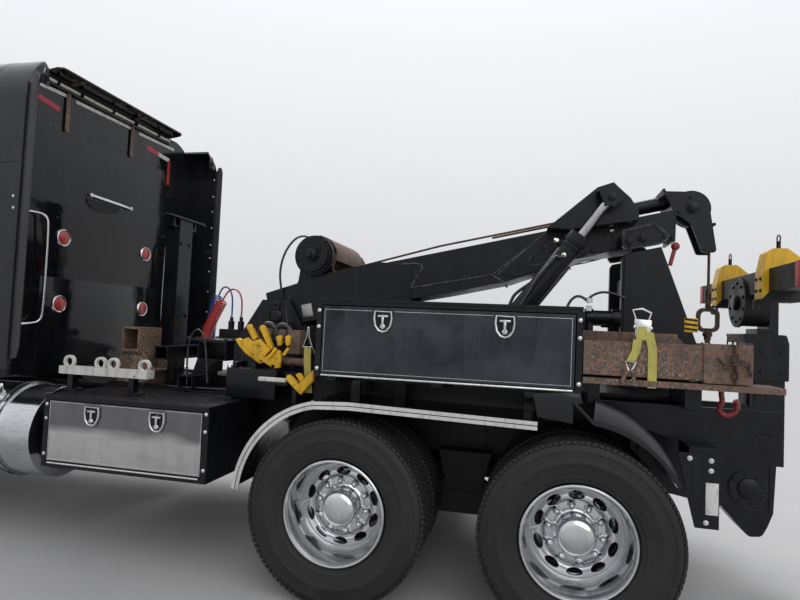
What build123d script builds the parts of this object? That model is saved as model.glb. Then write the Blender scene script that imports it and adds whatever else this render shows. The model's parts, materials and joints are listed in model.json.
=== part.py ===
from build123d import *
from math import atan2, cos, degrees, hypot, pi, radians, sin, tan
import os

# A heavy recovery truck: a long-nosed sleeper tractor that carries a hydraulic recovery boom.
# Millimetres. X forward, Y to the truck's left, Z up from the ground.
# X is measured from the middle of the tandem; save() shifts it so that X = 0 is the truck's middle.
# Points in outlines are (x, z) for plate_xz, (y, z) for plate_yz and (x, y) for plate_xy.

# Ends of the truck, for the shift to its middle
FRONT_END, REAR_END = 8480.0, -2000.0
MIDDLE = (FRONT_END + REAR_END) / 2

# Running gear
TANDEM_HALF = 660.0          # half of the 52 inch tandem spacing
STEER_X = 7350.0             # front axle
TYRE_R, TYRE_W = 520.0, 280.0
RIM_R = 298.5                # rim flange of a 22.5 inch wheel
RIM_HALF = 115.0             # half of a wheel's width
AXLE_Z = 520.0
DUAL_OUTER_Y, DUAL_INNER_Y = 1075.0, 735.0
STEER_TYRE_Y = 1040.0
KINGPIN_Y, KINGPIN_R = 820.0, 24.0
SPINDLE_R = 60.0
DRUM_R = 208.0               # brake drum
HAND_HOLES = 10
RUN_FIT = 0.05               # radial clearance of a running fit
GAP = 6.0                    # clearance round a door

# Chassis
RAIL_Y, RAIL_TOP, RAIL_H, RAIL_FLANGE, RAIL_T = 425.0, 1040.0, 270.0, 90.0, 12.0
RAIL_REAR, RAIL_FRONT = -1440.0, 8120.0
CROSSMEMBERS = (-1400.0, -150.0, 900.0, 2300.0, 3900.0, 5150.0, 8050.0)
SPRING_Y = 400.0

# Cab and sleeper
CAB_REAR, CAB_FRONT, CAB_HALF, CAB_FLOOR = 4950.0, 6360.0, 1060.0, 1100.0
SLEEPER_REAR, SLEEPER_FRONT, SLEEPER_HALF = 3250.0, 4930.0, 1200.0
SLEEPER_ROOF, SLEEPER_BROW = 3310.0, 3120.0
EXTENDER_X = 2860.0          # rear edge of the side extenders
WALL = 40.0
PASSAGE = (-600.0, 600.0, 1250.0, 2700.0)   # the way from cab to sleeper: y, y, z, z
DOOR_X0, DOOR_X1, DOOR_Z0, DOOR_Z1 = 5150.0, 6100.0, 1140.0, 2420.0
SHEET = 14.0                 # thickness of hood and fenders

# Hood
HOOD_REAR, HOOD_FRONT = 6380.0, 8180.0
HOOD_REAR_HALF, HOOD_FRONT_HALF = 560.0, 450.0
HOOD_REAR_TOP, HOOD_FRONT_TOP, HOOD_BOTTOM = 1790.0, 1640.0, 1120.0
FENDER_HALF, ARCH_R = 1190.0, 610.0

# Wrecker body
DECK_FRONT, DECK_REAR, DECK_Z = 1420.0, -1300.0, 1250.0
FRONT_DECK_Z = RAIL_TOP + 25.0
BOOM_PIVOT = (1430.0, 1620.0)
BOOM_SLOPE = radians(12.2)
BORE_FLOOR = (720.0, 1830.0)   # a point on the floor of the boom's bore
BORE_HALF, BORE_H = 165.0, 195.0
BOX_HALF = 200.0               # half width of the outer boom's box
LIFT_BASE, LIFT_EYE, LIFT_Y = (-20.0, 1345.0), (-862.0, 2470.0), 430.0
LIFT_ROD_R, LIFT_EYE_HALF, LIFT_EYE_R = 40.0, 44.0, 46.0
WINCH = (1170.0, 2075.0)
SHEAVE = (-1439.0, 2488.0)
HOOK_X = -1565.0

# Underlift
UNDERLIFT_PIVOT = (-1650.0, 735.0)
COLUMN_X, COLUMN_HALF = (-1810.0, -1985.0), 150.0
STINGER_X, STINGER_HALF = (-1835.0, -1960.0), 105.0
SWIVEL_Z = 1850.0
BAR_X, BAR_Z, BAR_SIZE, BAR_HALF = (-1760.0, -1900.0), 1960.0, 140.0, 950.0

# Toolboxes: front x, rear x, bottom z, top z, inner y, outer y; doors: front x, rear x, bottom z, top z
UPPER_BOX = (812.0, -654.0, 1285.0, 1731.0, 720.0, 1200.0)
LOWER_BOX = (2630.0, 1461.0, 600.0, 1055.0, 610.0, 1200.0)
UPPER_DOOR = (780.0, -623.0, 1298.0, 1695.0)
LOWER_DOOR = (2596.0, 1497.0, 636.0, 1024.0)
UPPER_LATCHES, LOWER_LATCHES = (418.0, -255.0), (2273.0, 1810.0)
BOX_WALL = 12.0


def block(x0, x1, y0, y1, z0, z1):
    """A box between two corners."""
    size = (abs(x1 - x0), abs(y1 - y0), abs(z1 - z0))
    return Pos((x0 + x1) / 2, (y0 + y1) / 2, (z0 + z1) / 2) * Box(*size)


def outline(corners, radius):
    """A closed line through the corners, rounded by one radius or by one for each corner."""
    if not radius:
        return Polyline(*corners, close=True)
    return FilletPolyline(*corners, radius=radius, close=True)


def plate_xz(points, y0, y1, radius=0.0):
    """An outline in X and Z, extruded from y0 to y1."""
    line = outline([(x, y0, z) for x, z in points], radius)
    return extrude(make_face(line), amount=y1 - y0, dir=(0, 1, 0))


def plate_yz(points, x0, x1, radius=0.0):
    """An outline in Y and Z, extruded from x0 to x1."""
    line = outline([(x0, y, z) for y, z in points], radius)
    return extrude(make_face(line), amount=x1 - x0, dir=(1, 0, 0))


def plate_xy(points, z0, z1, radius=0.0):
    """An outline in X and Y, extruded from z0 to z1."""
    line = outline([(x, y, z0) for x, y in points], radius)
    return extrude(make_face(line), amount=z1 - z0, dir=(0, 0, 1))


def ring_sector(x, z, outer, inner, start, end, y0, y1):
    """A part of a ring about a Y axis, between two angles in degrees from X towards Z."""
    a, b = radians(start), radians(end)

    def spot(radius, turn):
        return x + radius * cos(turn), y0, z + radius * sin(turn)

    rim_line = ThreePointArc(spot(outer, a), spot(outer, (a + b) / 2), spot(outer, b))
    hub_line = ThreePointArc(spot(inner, b), spot(inner, (a + b) / 2), spot(inner, a))
    line = rim_line + Line(spot(outer, b), spot(inner, b)) + hub_line + Line(spot(inner, a), spot(outer, a))
    return extrude(make_face(line), amount=y1 - y0, dir=(0, 1, 0))


def rod_y(x, z, radius, y0, y1):
    """A round bar along Y."""
    return Pos(x, (y0 + y1) / 2, z) * Rot(90, 0, 0) * Cylinder(radius, abs(y1 - y0))


def rod_x(y, z, radius, x0, x1):
    """A round bar along X."""
    return Pos((x0 + x1) / 2, y, z) * Rot(0, 90, 0) * Cylinder(radius, abs(x1 - x0))


def rod_z(x, y, radius, z0, z1):
    """A round bar along Z."""
    return Pos(x, y, (z0 + z1) / 2) * Cylinder(radius, abs(z1 - z0))


def rod_between(start, end, radius):
    """A round bar from one point to another."""
    axis = Vector(*end) - Vector(*start)
    plane = Plane(origin=start, z_dir=axis)
    return plane * Pos(0, 0, axis.length / 2) * Cylinder(radius, axis.length)


def turned_z(x, y, section):
    """A body turned about a vertical axis from a section of (radius, z)."""
    face = make_face(Polyline(*[(x + r, y, z) for r, z in section], close=True))
    return revolve(face, axis=Axis((x, y, 0), (0, 0, 1)))


def turned_y(x, section):
    """A body turned about an axle from a section of (radius, y)."""
    face = make_face(Polyline(*[(x + r, y, AXLE_Z) for r, y in section], close=True))
    return revolve(face, axis=Axis((x, 0, AXLE_Z), (0, 1, 0)))


def round_edges(solid, chosen, radius):
    """Round the edges whose middle point passes a test."""
    return fillet(solid.edges().filter_by(lambda edge: chosen(edge.center())), radius)


def both(solid):
    """The solid and its mirror image on the other side of the truck."""
    return solid + mirror(solid, about=Plane.XZ)


def side(solid, sign):
    """The left solid for +1, its mirror image for -1."""
    return solid if sign > 0 else mirror(solid, about=Plane.XZ)


def save(name, shape):
    """Shift a node to the truck's middle and write it."""
    export_step(Pos(-MIDDLE, 0, 0) * shape, f"parts/{name}.step")


# Chassis

def rail():
    """One C-section frame rail with its flanges turned inwards."""
    web = block(RAIL_REAR, RAIL_FRONT, RAIL_Y - RAIL_T, RAIL_Y, RAIL_TOP - RAIL_H, RAIL_TOP)
    for z in (RAIL_TOP - RAIL_T, RAIL_TOP - RAIL_H):
        web += block(RAIL_REAR, RAIL_FRONT, RAIL_Y - RAIL_FLANGE, RAIL_Y, z, z + RAIL_T)
    return web


def chassis_frame():
    """Both rails joined by channel crossmembers."""
    frame = both(rail())
    inner = RAIL_Y - RAIL_T
    for x in CROSSMEMBERS:
        frame += block(x, x + 60, -inner, inner, 850, 1010)
        frame -= block(x + 8, x + 61, -inner + 95, inner - 95, 860, 1000)
    return frame


def engine_block():
    """The engine and gearbox as plain blocks where they hang between the rails."""
    engine = block(6450, 7900, -290, 290, 780, 1560)
    gearbox = block(5500, 6450, -220, 220, 780, 1030) + rod_x(0, 880, 140, 5300, 5500)
    return engine + gearbox


def front_axle():
    """The dropped axle beam, its leaf springs and the kingpins."""
    beam_line = [(-800, 560), (-640, 420), (640, 420), (800, 560), (800, 470), (620, 340), (-620, 340),
                 (-800, 470)]
    beam = plate_yz(beam_line, STEER_X - 50, STEER_X + 50)
    pocket = [(-560, 405), (560, 405), (560, 355), (-560, 355)]
    for x0, x1 in ((-51, -20), (20, 51)):
        beam -= plate_yz(pocket, STEER_X + x0, STEER_X + x1)
    spring = ring_sector(STEER_X, 2515, 1955, 1905, -110.6, -69.4, SPRING_Y - 40, SPRING_Y + 40)
    seat = block(STEER_X - 90, STEER_X + 90, 350, 450, 400, 580)
    hangers = block(6630, 6720, 360, 440, 680, 770) + block(7980, 8070, 360, 440, 680, 770)
    pins = rod_z(STEER_X, KINGPIN_Y, 45, 445, 585) + rod_z(STEER_X, KINGPIN_Y, KINGPIN_R, 385, 645)
    return beam + both(spring + seat + hangers + pins)


def drive_axles():
    """Two drive axles with their differentials, the walking beams and the propeller shafts."""
    parts = rod_between((5250, 0, 800), (TANDEM_HALF + 200, 0, 600), 45)
    parts += rod_x(0, 600, 50, -TANDEM_HALF + 100, TANDEM_HALF - 100)
    for x in (TANDEM_HALF, -TANDEM_HALF):
        parts += rod_y(x, AXLE_Z, 75, -640, 640)
        parts += rod_y(x, AXLE_Z, SPINDLE_R, -1090, 1090)
        parts += Pos(x, 0, AXLE_Z + 20) * Sphere(205)
        parts += both(Pos(x, 240, AXLE_Z) * Rot(-90, 0, 0) * Cone(150, 76, 240))
        parts += both(rod_x(510, 640, 70, x + 90, x + 190) + block(x + 60, x + 95, 450, 580, 520, 660))
    beam = plate_xz([(-760, 470), (-560, 400), (560, 400), (760, 470), (760, 560), (200, 560), (0, 700),
                     (-200, 560), (-760, 560)], 450, 530)
    saddle = plate_xz([(-170, 800), (-110, 560), (110, 560), (170, 800)], 425, 560)
    return parts + both(beam + saddle)


# Wheels

def tyre(x, y):
    """A tyre as a turned section with rounded shoulders."""
    half = TYRE_W / 2
    section = [(292, y - half + 60), (330, y - half + 18), (400, y - half), (455, y - half + 2),
               (505, y - half + 18), (TYRE_R, y - half + 42), (TYRE_R, y + half - 42), (505, y + half - 18),
               (455, y + half - 2), (400, y + half), (330, y + half - 18), (292, y + half - 60)]
    return turned_y(x, section)


def hand_holes(x, y0, y1, radius=200.0, hole=30.0):
    """The hand holes of a wheel disc."""
    holes = []
    for k in range(HAND_HOLES):
        turn = 2 * pi * (k + 0.5) / HAND_HOLES
        holes.append(Pos(radius * cos(turn), 0, radius * sin(turn)) * rod_y(x, AXLE_Z, hole, y0, y1))
    return holes


def rim_profile(y, disc_out, disc_in):
    """The section of a wheel: its face from flange to bore, then back along the drop well."""
    face = [(RIM_R, y + RIM_HALF), (RIM_R - 12, y + RIM_HALF + 6), (276, y + RIM_HALF - 14)]
    bead = [(RIM_R, y - RIM_HALF), (RIM_R, y - RIM_HALF + 12), (290, y - RIM_HALF + 40),
            (290, y + RIM_HALF - 40), (RIM_R, y + RIM_HALF - 12)]
    return face + disc_out + disc_in + bead


def dual_wheel(x):
    """A pair of disc wheels on one hub, with the brake drum, the hub cap and a running bore."""
    bore = SPINDLE_R + RUN_FIT
    wheel = rod_y(x, AXLE_Z, bore + 60, 660, DUAL_OUTER_Y + 20) + rod_y(x, AXLE_Z, 88, DUAL_OUTER_Y, 1150)
    for y, disc in ((DUAL_OUTER_Y, DUAL_OUTER_Y - 10), (DUAL_INNER_Y, DUAL_INNER_Y + 20)):
        face = [(262, disc + 20), (240, disc + 34), (150, disc + 30), (bore + 25, disc + 25)]
        back = [(bore + 25, disc - 5), (255, disc - 5), (262, y - RIM_HALF + 20)]
        wheel += turned_y(x, rim_profile(y, face, back)) - hand_holes(x, disc - 30, disc + 60)
    drum = rod_y(x, AXLE_Z, DRUM_R, 602, 735) - rod_y(x, AXLE_Z, DRUM_R - 16, 600, 715)
    return wheel + drum - rod_y(x, AXLE_Z, bore, 590, 1095)


def steer_wheel():
    """The steered wheel's disc, crowned outwards, with its hub cap and bore."""
    y = STEER_TYRE_Y
    disc = y + 70
    bore = SPINDLE_R + RUN_FIT
    face = [(262, disc - 10), (225, disc + 5), (130, disc - 5), (bore + 25, disc - 5)]
    back = [(bore + 25, disc - 30), (130, disc - 30), (225, disc - 20), (262, disc - 45),
            (262, y - RIM_HALF + 20)]
    wheel = turned_y(STEER_X, rim_profile(y, face, back)) - hand_holes(STEER_X, disc - 60, disc + 40)
    wheel += rod_y(STEER_X, AXLE_Z, bore + 60, y - 90, disc) + rod_y(STEER_X, AXLE_Z, 95, disc - 20, y + 135)
    return wheel - rod_y(STEER_X, AXLE_Z, bore, y - 100, y + 60)


def knuckle():
    """The steering knuckle: a fork round the kingpin, the wheel's spindle and the steering arm."""
    inner, outer = KINGPIN_Y - 46, KINGPIN_Y + 100
    fork = block(STEER_X - 44, STEER_X + 44, outer - 40, outer, 390, 640)
    for z in (390, 595):
        fork += block(STEER_X - 44, STEER_X + 44, inner, outer, z, z + 45)
    fork += plate_xy([(STEER_X - 40, inner + 20), (STEER_X - 40, inner + 75), (STEER_X - 210, inner + 50),
                      (STEER_X - 210, inner + 20)], 392, 422)
    fork -= rod_z(STEER_X, KINGPIN_Y, KINGPIN_R + RUN_FIT, 365, 665)
    return fork + rod_y(STEER_X, AXLE_Z, SPINDLE_R, outer, STEER_TYRE_Y + 50)


# Cab

CAB_SIDE = [(CAB_REAR, CAB_FLOOR), (CAB_FRONT, CAB_FLOOR), (CAB_FRONT, 1780), (6180, 1830), (5930, 2500),
            (5760, 2620), (CAB_REAR, 3080)]
CAB_PLAN = [(CAB_REAR, -CAB_HALF), (6130, -CAB_HALF), (CAB_FRONT, -860), (CAB_FRONT, 860), (6130, CAB_HALF),
            (CAB_REAR, CAB_HALF)]


def cab_hull(inset):
    """The cab's outer form with rounded roof edges, shrunk by an inset on every face."""
    profile = offset(make_face(Polyline(*[(x, 0, z) for x, z in CAB_SIDE], close=True)), amount=-inset,
                     kind=Kind.INTERSECTION)
    form = extrude(profile, amount=1200, dir=(0, 1, 0), both=True)
    plan = offset(make_face(Polyline(*[(x, y, 0) for x, y in CAB_PLAN], close=True)), amount=-inset,
                  kind=Kind.INTERSECTION)
    form = form & extrude(plan, amount=4000, dir=(0, 0, 1))
    return round_edges(form, lambda p: p.Z > 2540 and abs(p.Y) > 950 and p.X > CAB_REAR + 100, 90 - inset)


def windscreen_hole(trim):
    """The space of the windscreen's two panes."""
    return both(block(5800, 6350, 30 + trim, 820 - trim, 1900 + trim, 2440 - trim))


def door_window(trim):
    """The space of a door's window."""
    points = [(5230 + trim, 1800 + trim), (5940 - trim, 1800 + trim), (5800 - trim, 2340 - trim),
              (5230 + trim, 2340 - trim)]
    return plate_xz(points, 900, 1300, 30)


def door_outline(trim):
    """The left door's panel, with its front edge along the windscreen pillar."""
    points = [(DOOR_X0 + trim, DOOR_Z0 + trim), (DOOR_X1 - trim, DOOR_Z0 + trim), (DOOR_X1 - trim, 1830),
              (5880 - trim, DOOR_Z1 - trim), (DOOR_X0 + trim, DOOR_Z1 - trim)]
    return plate_xz(points, 900, 1300)


def passage(x0, x1):
    """The opening between cab and sleeper."""
    y0, y1, z0, z1 = PASSAGE
    return block(x0, x1, y0, y1, z0, z1)


def cab_shell():
    """The hollow cab with its door openings, windscreen, sleeper passage and outside visor."""
    shell = cab_hull(0) - cab_hull(WALL)
    shell -= windscreen_hole(0)
    shell -= passage(CAB_REAR - 10, CAB_REAR + WALL + 10)
    shell -= both(door_outline(0))
    visor = plate_xz([(5925, 2480), (5950, 2500), (6190, 2390), (6180, 2375)], -860, 860)
    cowl = block(CAB_FRONT, CAB_FRONT + 14, -700, 700, 1180, 1740)
    return shell + visor + cowl


def windscreen():
    """Two flat panes set in the windscreen openings."""
    return (cab_hull(12) - cab_hull(20)) & windscreen_hole(1)


def cab_door():
    """The left door: the whole thickness of the cab's wall, with its window, handle and mirror."""
    skin = (cab_hull(0) - cab_hull(WALL)) & door_outline(GAP)
    door = skin - door_window(0)
    handle = block(5200, 5330, CAB_HALF, CAB_HALF + 22, 1660, 1690)
    arms = None
    for z in (1790, 2250):
        arm = block(6000, 6040, CAB_HALF, 1330, z, z + 30)
        arms = arm if arms is None else arms + arm
    case = block(5985, 6055, 1210, 1400, 1760, 2310)
    case = round_edges(case, lambda p: abs(p.Y - 1305) > 90 and p.X > 6050, 18)
    return door + handle + arms + case


def door_glass():
    """The left door's pane."""
    return (cab_hull(12) - cab_hull(18)) & door_window(1)


def cab_interior():
    """Two seats, the dashboard and the steering wheel."""
    cushion = plate_xz([(5250, 1400), (5730, 1400), (5730, 1520), (5250, 1500)], 280, 760, 25)
    back = plate_xz([(5130, 1400), (5260, 1400), (5230, 2150), (5150, 2150)], 290, 750, 20)
    base = block(5350, 5650, 380, 660, CAB_FLOOR + WALL, 1400)
    dash = plate_xz([(5980, 1500), (6250, 1500), (6250, 1740), (6080, 1765), (5980, 1700)], -780, 780, 20)
    dash += block(6150, 6250, -780, 780, CAB_FLOOR + WALL, 1510)
    turn = Plane(origin=(5860, 520, 1760), z_dir=(-0.75, 0, 0.66))
    wheel = turn * Torus(210, 16)
    wheel += turn * Box(400, 30, 14) + rod_between((5860, 520, 1760), (6090, 520, 1560), 30)
    return both(cushion + back + base) + dash + wheel


# Sleeper

def sleeper_hull(inset):
    """The sleeper's outer form: rounded roof edges and a brow that slopes to the cab, shrunk by an inset."""
    half, roof, floor = SLEEPER_HALF - inset, SLEEPER_ROOF - inset, CAB_FLOOR + inset
    rear, front = SLEEPER_REAR + inset, SLEEPER_FRONT - inset
    section = plate_yz([(-half, floor), (half, floor), (half, roof), (-half, roof)], rear, front,
                       [45 - inset, 45 - inset, 165 - inset, 165 - inset])
    brow_line = [(rear, floor - 1), (front, floor - 1), (front, SLEEPER_BROW - inset), (4300, roof),
                 (rear, roof)]
    brow = plate_xz(brow_line, -half, half)
    return section & brow


def sleeper_shell():
    """The hollow sleeper with its bunk, open to the cab in front."""
    shell = sleeper_hull(0) - sleeper_hull(WALL)
    shell -= passage(SLEEPER_FRONT - WALL - 10, SLEEPER_FRONT + 10)
    bunk = block(SLEEPER_REAR + WALL, 4200, -SLEEPER_HALF + WALL, SLEEPER_HALF - WALL, 1560, 1720)
    return shell + bunk


def sleeper_fairings():
    """The side extenders behind the sleeper and the lip that hoods its rear wall."""
    line = [(SLEEPER_REAR, 1190), (EXTENDER_X + 20, 1190), (EXTENDER_X, 1260), (EXTENDER_X, 3010),
            (EXTENDER_X + 150, 3190), (SLEEPER_REAR, 3200)]
    extender = plate_xz(line, SLEEPER_HALF - 30, SLEEPER_HALF, [5, 15, 60, 90, 60, 5])
    lip = plate_xz([(SLEEPER_REAR, 3310), (3050, 3285), (EXTENDER_X, 3235), (EXTENDER_X, 3220), (3050, 3268),
                    (SLEEPER_REAR, 3290)], -1010, 1010)
    brackets = None
    for y in (550, -220):
        line = [(SLEEPER_REAR, 3270), (3080, 3250), (3100, 3225), (SLEEPER_REAR, 3060)]
        bracket = plate_xz(line, y, y + 16)
        brackets = bracket if brackets is None else brackets + bracket
    return both(extender) + lip + brackets


def exhaust_stacks():
    """A shielded muffler and a mitre-cut stack each side, just behind the doors."""
    x, y, top = 5040.0, 1150.0, 3600.0
    stack = rod_z(x, y, 62, 1480, top)
    stack -= Pos(x, y, top) * Rot(0, 40, 0) * Pos(0, 0, 100) * Box(300, 200, 200)
    stack += rod_z(x, y, 88, 1560, 2440) + rod_z(x, y, 70, 1545, 2455)
    for z in (1700, 2300):
        stack += block(4990, 5090, CAB_HALF, y, z, z + 40)
    return both(stack)


def air_cleaners():
    """A canister air cleaner with a domed lid and an intake cap on each side of the cowl."""
    x, y = 6580.0, 800.0
    can = turned_z(x, y, [(0, 1370), (120, 1370), (175, 1400), (190, 1430), (190, 1900), (178, 1930),
                          (120, 1962), (85, 1970), (85, 2005), (115, 2020), (115, 2045), (60, 2070),
                          (0, 2075)])
    for z in (1480, 1820):
        can += rod_z(x, y, 195, z, z + 26)
    bracket = block(CAB_FRONT + 14, 6430, 690, 850, 1500, 1800)
    bracket += block(CAB_FRONT, CAB_FRONT + 14, 700, 850, 1500, 1740)
    return both(can + bracket)


def fuel_tanks():
    """A round tank with domed ends under each side, with its straps, filler cap and step."""
    front, rear, radius, y, z = 4850.0, 2700.0, 310.0, 880.0, 760.0
    dome = [(rear, 0), (rear + 12, 150), (rear + 32, 260), (rear + 50, radius), (front - 50, radius),
            (front - 32, 260), (front - 12, 150), (front, 0)]
    face = make_face(Polyline(*[(x, y + r, z) for x, r in dome], close=True))
    tank = revolve(face, axis=Axis((0, y, z), (1, 0, 0)))
    for x in (3000, 3800, 4600):
        tank += rod_x(y, z, radius + 10, x, x + 60)
        tank += block(x, x + 60, RAIL_Y, y, 800, 880)
    tank += rod_between((3150, y + 150, z + 200), (3150, y + 210, z + 280), 48)
    step = block(3300, 4400, 1090, 1200, 1040, 1056) + block(3400, 3430, 1050, 1110, 960, 1040)
    step += block(4270, 4300, 1050, 1110, 960, 1040)
    return both(tank + step)


def cab_steps():
    """The battery boxes under the doors, with two steps cut into each."""
    box = block(5000, 6560, 600, 1170, 460, 1040)
    box = round_edges(box, lambda p: p.Y > 1100 and abs(p.X - 5780) < 10, 40)
    box -= block(5200, 5950, 1000, 1200, 780, 1060) - block(5190, 5960, 990, 1210, 900, 912)
    arms = block(5200, 5280, RAIL_Y, 600, 860, 980) + block(6300, 6380, RAIL_Y, 600, 860, 980)
    return both(box + arms)


# Hood

def bonnet_form(inset):
    """The bonnet's outer form, tapered in plan and rounded along its top, shrunk by an inset."""
    rear, front = HOOD_REAR - inset, HOOD_FRONT - inset
    bottom = HOOD_BOTTOM - inset
    profile = plate_xz([(rear, bottom), (front, bottom), (front, HOOD_FRONT_TOP - inset),
                        (rear, HOOD_REAR_TOP - inset)], -700, 700)
    wide, narrow = HOOD_REAR_HALF - inset, HOOD_FRONT_HALF - inset
    plan = plate_xy([(rear, -wide), (front, -narrow), (front, narrow), (rear, wide)], 1000, 2000)
    form = profile & plan
    top_edges = lambda p: p.Z > 1650 and abs(p.Y) > 350 and HOOD_REAR < p.X < front - 50
    return round_edges(form, top_edges, 95 - inset)


def fender_form(inset):
    """A front fender's outer form with its rolled outer edge, shrunk by an inset."""
    points = [(HOOD_FRONT, 760), (HOOD_FRONT, 930), (8100, 1130), (7680, 1290), (7020, 1290), (6862, 1080),
              (6850, 900)]
    radii = [5, 250, 250, 600, 250, 200, 5]
    line = FilletPolyline(*[(x, 440, z) for x, z in points], radius=radii, close=True)
    face = make_face(line) if not inset else offset(make_face(line), amount=-inset)
    form = extrude(face, amount=FENDER_HALF - inset - 440, dir=(0, 1, 0))
    return round_edges(form, lambda p: p.Y > FENDER_HALF - inset - 1 and p.Z > 920, 45 - inset)


def hood_shell():
    """The tilting hood: a hollow bonnet with a fender over each steered wheel."""
    fender = fender_form(0)
    hollow = fender_form(SHEET)
    fender -= hollow
    fender -= Pos(0, -20, -40) * hollow
    fender -= rod_y(STEER_X, AXLE_Z, ARCH_R, 1000, 1300)
    fender -= block(6800, 8200, 430, 506, 700, HOOD_BOTTOM)
    bead = plate_xz([(HOOD_REAR, 1789), (HOOD_REAR, 1797), (HOOD_FRONT, 1647), (HOOD_FRONT, 1639)], -14, 14)
    hood = bonnet_form(0) + both(fender) + bead - bonnet_form(SHEET)
    return hood - block(HOOD_FRONT - 100, HOOD_FRONT + 10, -380, 380, 900, 1570)


def grille():
    """The radiator surround with rounded shoulders and its vertical bars."""
    x0, x1 = HOOD_FRONT + 1, HOOD_FRONT + 64
    frame = plate_yz([(-430, 860), (430, 860), (430, 1655), (-430, 1655)], x0, x1, [30, 30, 95, 95])
    frame -= plate_yz([(-370, 930), (370, 930), (370, 1585), (-370, 1585)], x0 - 5, x1 + 5, [15, 15, 60, 60])
    for k in range(13):
        y = -360 + 60 * k
        frame += block(x0 + 10, x0 + 34, y - 5, y + 5, 925, 1590 - 45 * (abs(y) > 330))
    return frame + block(x0 + 14, x0 + 28, -375, 375, 1250, 1262)


def headlamps():
    """A rounded pod on the front of each fender with two round lamp bowls."""
    x0, x1 = HOOD_FRONT + 1, HOOD_FRONT + 84
    pod = round_edges(block(x0, x1, 650, 1050, 890, 1090), lambda p: p.X > x1 - 1, 30)
    for y in (755, 945):
        pod -= rod_x(y, 990, 74, x1 - 45, x1 + 5)
        pod += rod_x(y, 990, 30, x1 - 46, x1 - 25)
    return both(pod)


def bumper_band(depth, z0, z1):
    """A strip of the bumper: flat across the front, swept back at its end, as deep as asked."""
    plan = [(FRONT_END, 0), (FRONT_END, 900), (8300, FENDER_HALF),
            (8300 - 0.85 * depth, FENDER_HALF - 0.527 * depth), (FRONT_END - depth, 900 - 0.285 * depth),
            (FRONT_END - depth, 0)]
    return plate_xy(plan, z0, z1)


def front_bumper():
    """The deep channel bumper with swept ends, its flanges and the brackets that hold it."""
    half = bumper_band(10, 400, 760) + bumper_band(60, 400, 410) + bumper_band(60, 750, 760)
    bracket = block(8075, FRONT_END - 5, 330, RAIL_Y, 500, 740)
    bracket += block(8075, RAIL_FRONT, 330, RAIL_Y, 740, 770)
    return both(half + bracket)


# Wrecker body

def tow_deck():
    """The body's subframe, its deck plates, the tail beams and the plates that carry the underlift."""
    deck = block(3050, DECK_FRONT, -600, 600, RAIL_TOP + 5, FRONT_DECK_Z)
    deck += block(DECK_FRONT, DECK_REAR, -700, 700, DECK_Z - 25, DECK_Z)
    for x in (1330, 400, -560, -1290):
        deck += block(x, x + 80, -595, 595, RAIL_TOP, DECK_Z - 25)
    beam = block(DECK_FRONT, DECK_REAR, 300, RAIL_Y, RAIL_TOP, DECK_Z - 25)
    tail = [(-1000, 1225), (-1000, 700), (-1480, 620), (-1650, 630), (-1755, 700), (-1755, 800),
            (-1640, 1225)]
    plate = plate_xz(tail, 515, 545, [20, 60, 60, 60, 60, 60, 20])
    plate += rod_y(*UNDERLIFT_PIVOT, 105, 545, 557)
    plate -= rod_y(*UNDERLIFT_PIVOT, 60 + RUN_FIT, 500, 560)
    wing = plate_xz([(-700, 1225), (-700, 1180), (-1300, 1000), (-1380, 1010), (-1690, 1225)], 880, 900)
    wing += block(-1300, -1220, 545, 900, 1010, 1225)
    flap_arm = block(-1340, -1200, 860, 1080, 950, 1040)
    flap_arm += plate_xz([(-1140, 1010), (-1340, 1010), (-1340, 640), (-1230, 640)], 1080, 1100)
    return deck + both(beam + plate + wing + flap_arm)


CHEEK = [(-934, 2275), (-1143, 2330), (-1235, 2245), (-1222, 2212), (-1177, 2188), (-951, 2141)]


def shrunk(points, share):
    """The points drawn in towards their middle."""
    cx = sum(x for x, _ in points) / len(points)
    cz = sum(z for _, z in points) / len(points)
    return [(cx + (x - cx) * share, cz + (z - cz) * share) for x, z in points]


def boom_supports():
    """The turret that carries the boom's pivot, the rest's masts with their cheeks, and the lift bases."""
    turret = [(1750, FRONT_DECK_Z), (1750, 1400), (1540, 1740), (1330, 1740), (1050, DECK_Z),
              (DECK_FRONT, DECK_Z), (DECK_FRONT, FRONT_DECK_Z)]
    plate = plate_xz(turret, 395, 425) - rod_y(*BOOM_PIVOT, 55 + RUN_FIT, 390, 430)
    lugs = rod_y(*LIFT_BASE, 40, LIFT_Y - 95, LIFT_Y + 95)
    lug_line = [(-110, DECK_Z), (-95, 1345), (-40, 1410), (20, 1400), (60, 1330), (80, DECK_Z)]
    for y in (LIFT_Y - 95, LIFT_Y + 70):
        lugs += plate_xz(lug_line, y, y + 25)
    mast = plate_xz([(-970, DECK_Z), (-970, 2125), (-1190, 2175), (-1410, 1560), (-1430, DECK_Z)], 270, 350)
    mast += plate_xz([(-970, DECK_Z), (-955, DECK_Z), (-955, 2100), (-970, 2125)], 285, 335)
    cheek = plate_xz(CHEEK, 350, 388, [30, 30, 12, 12, 12, 40])
    cheek += plate_xz(shrunk(CHEEK, 0.78), 388, 394, 14) - plate_xz(shrunk(CHEEK, 0.70), 387, 395, 10)
    ram = rod_x(300, 1705, 47, -745, -956) + rod_x(300, 1705, 58, -905, -956)
    ram += rod_z(-760, 300, 30, DECK_Z, 1760)
    ties = block(1600, 1700, -395, 395, FRONT_DECK_Z, 1300) + block(-1000, -1100, -270, 270, 1890, 1990)
    return both(plate + lugs + mast + cheek + ram) + ties


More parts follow.
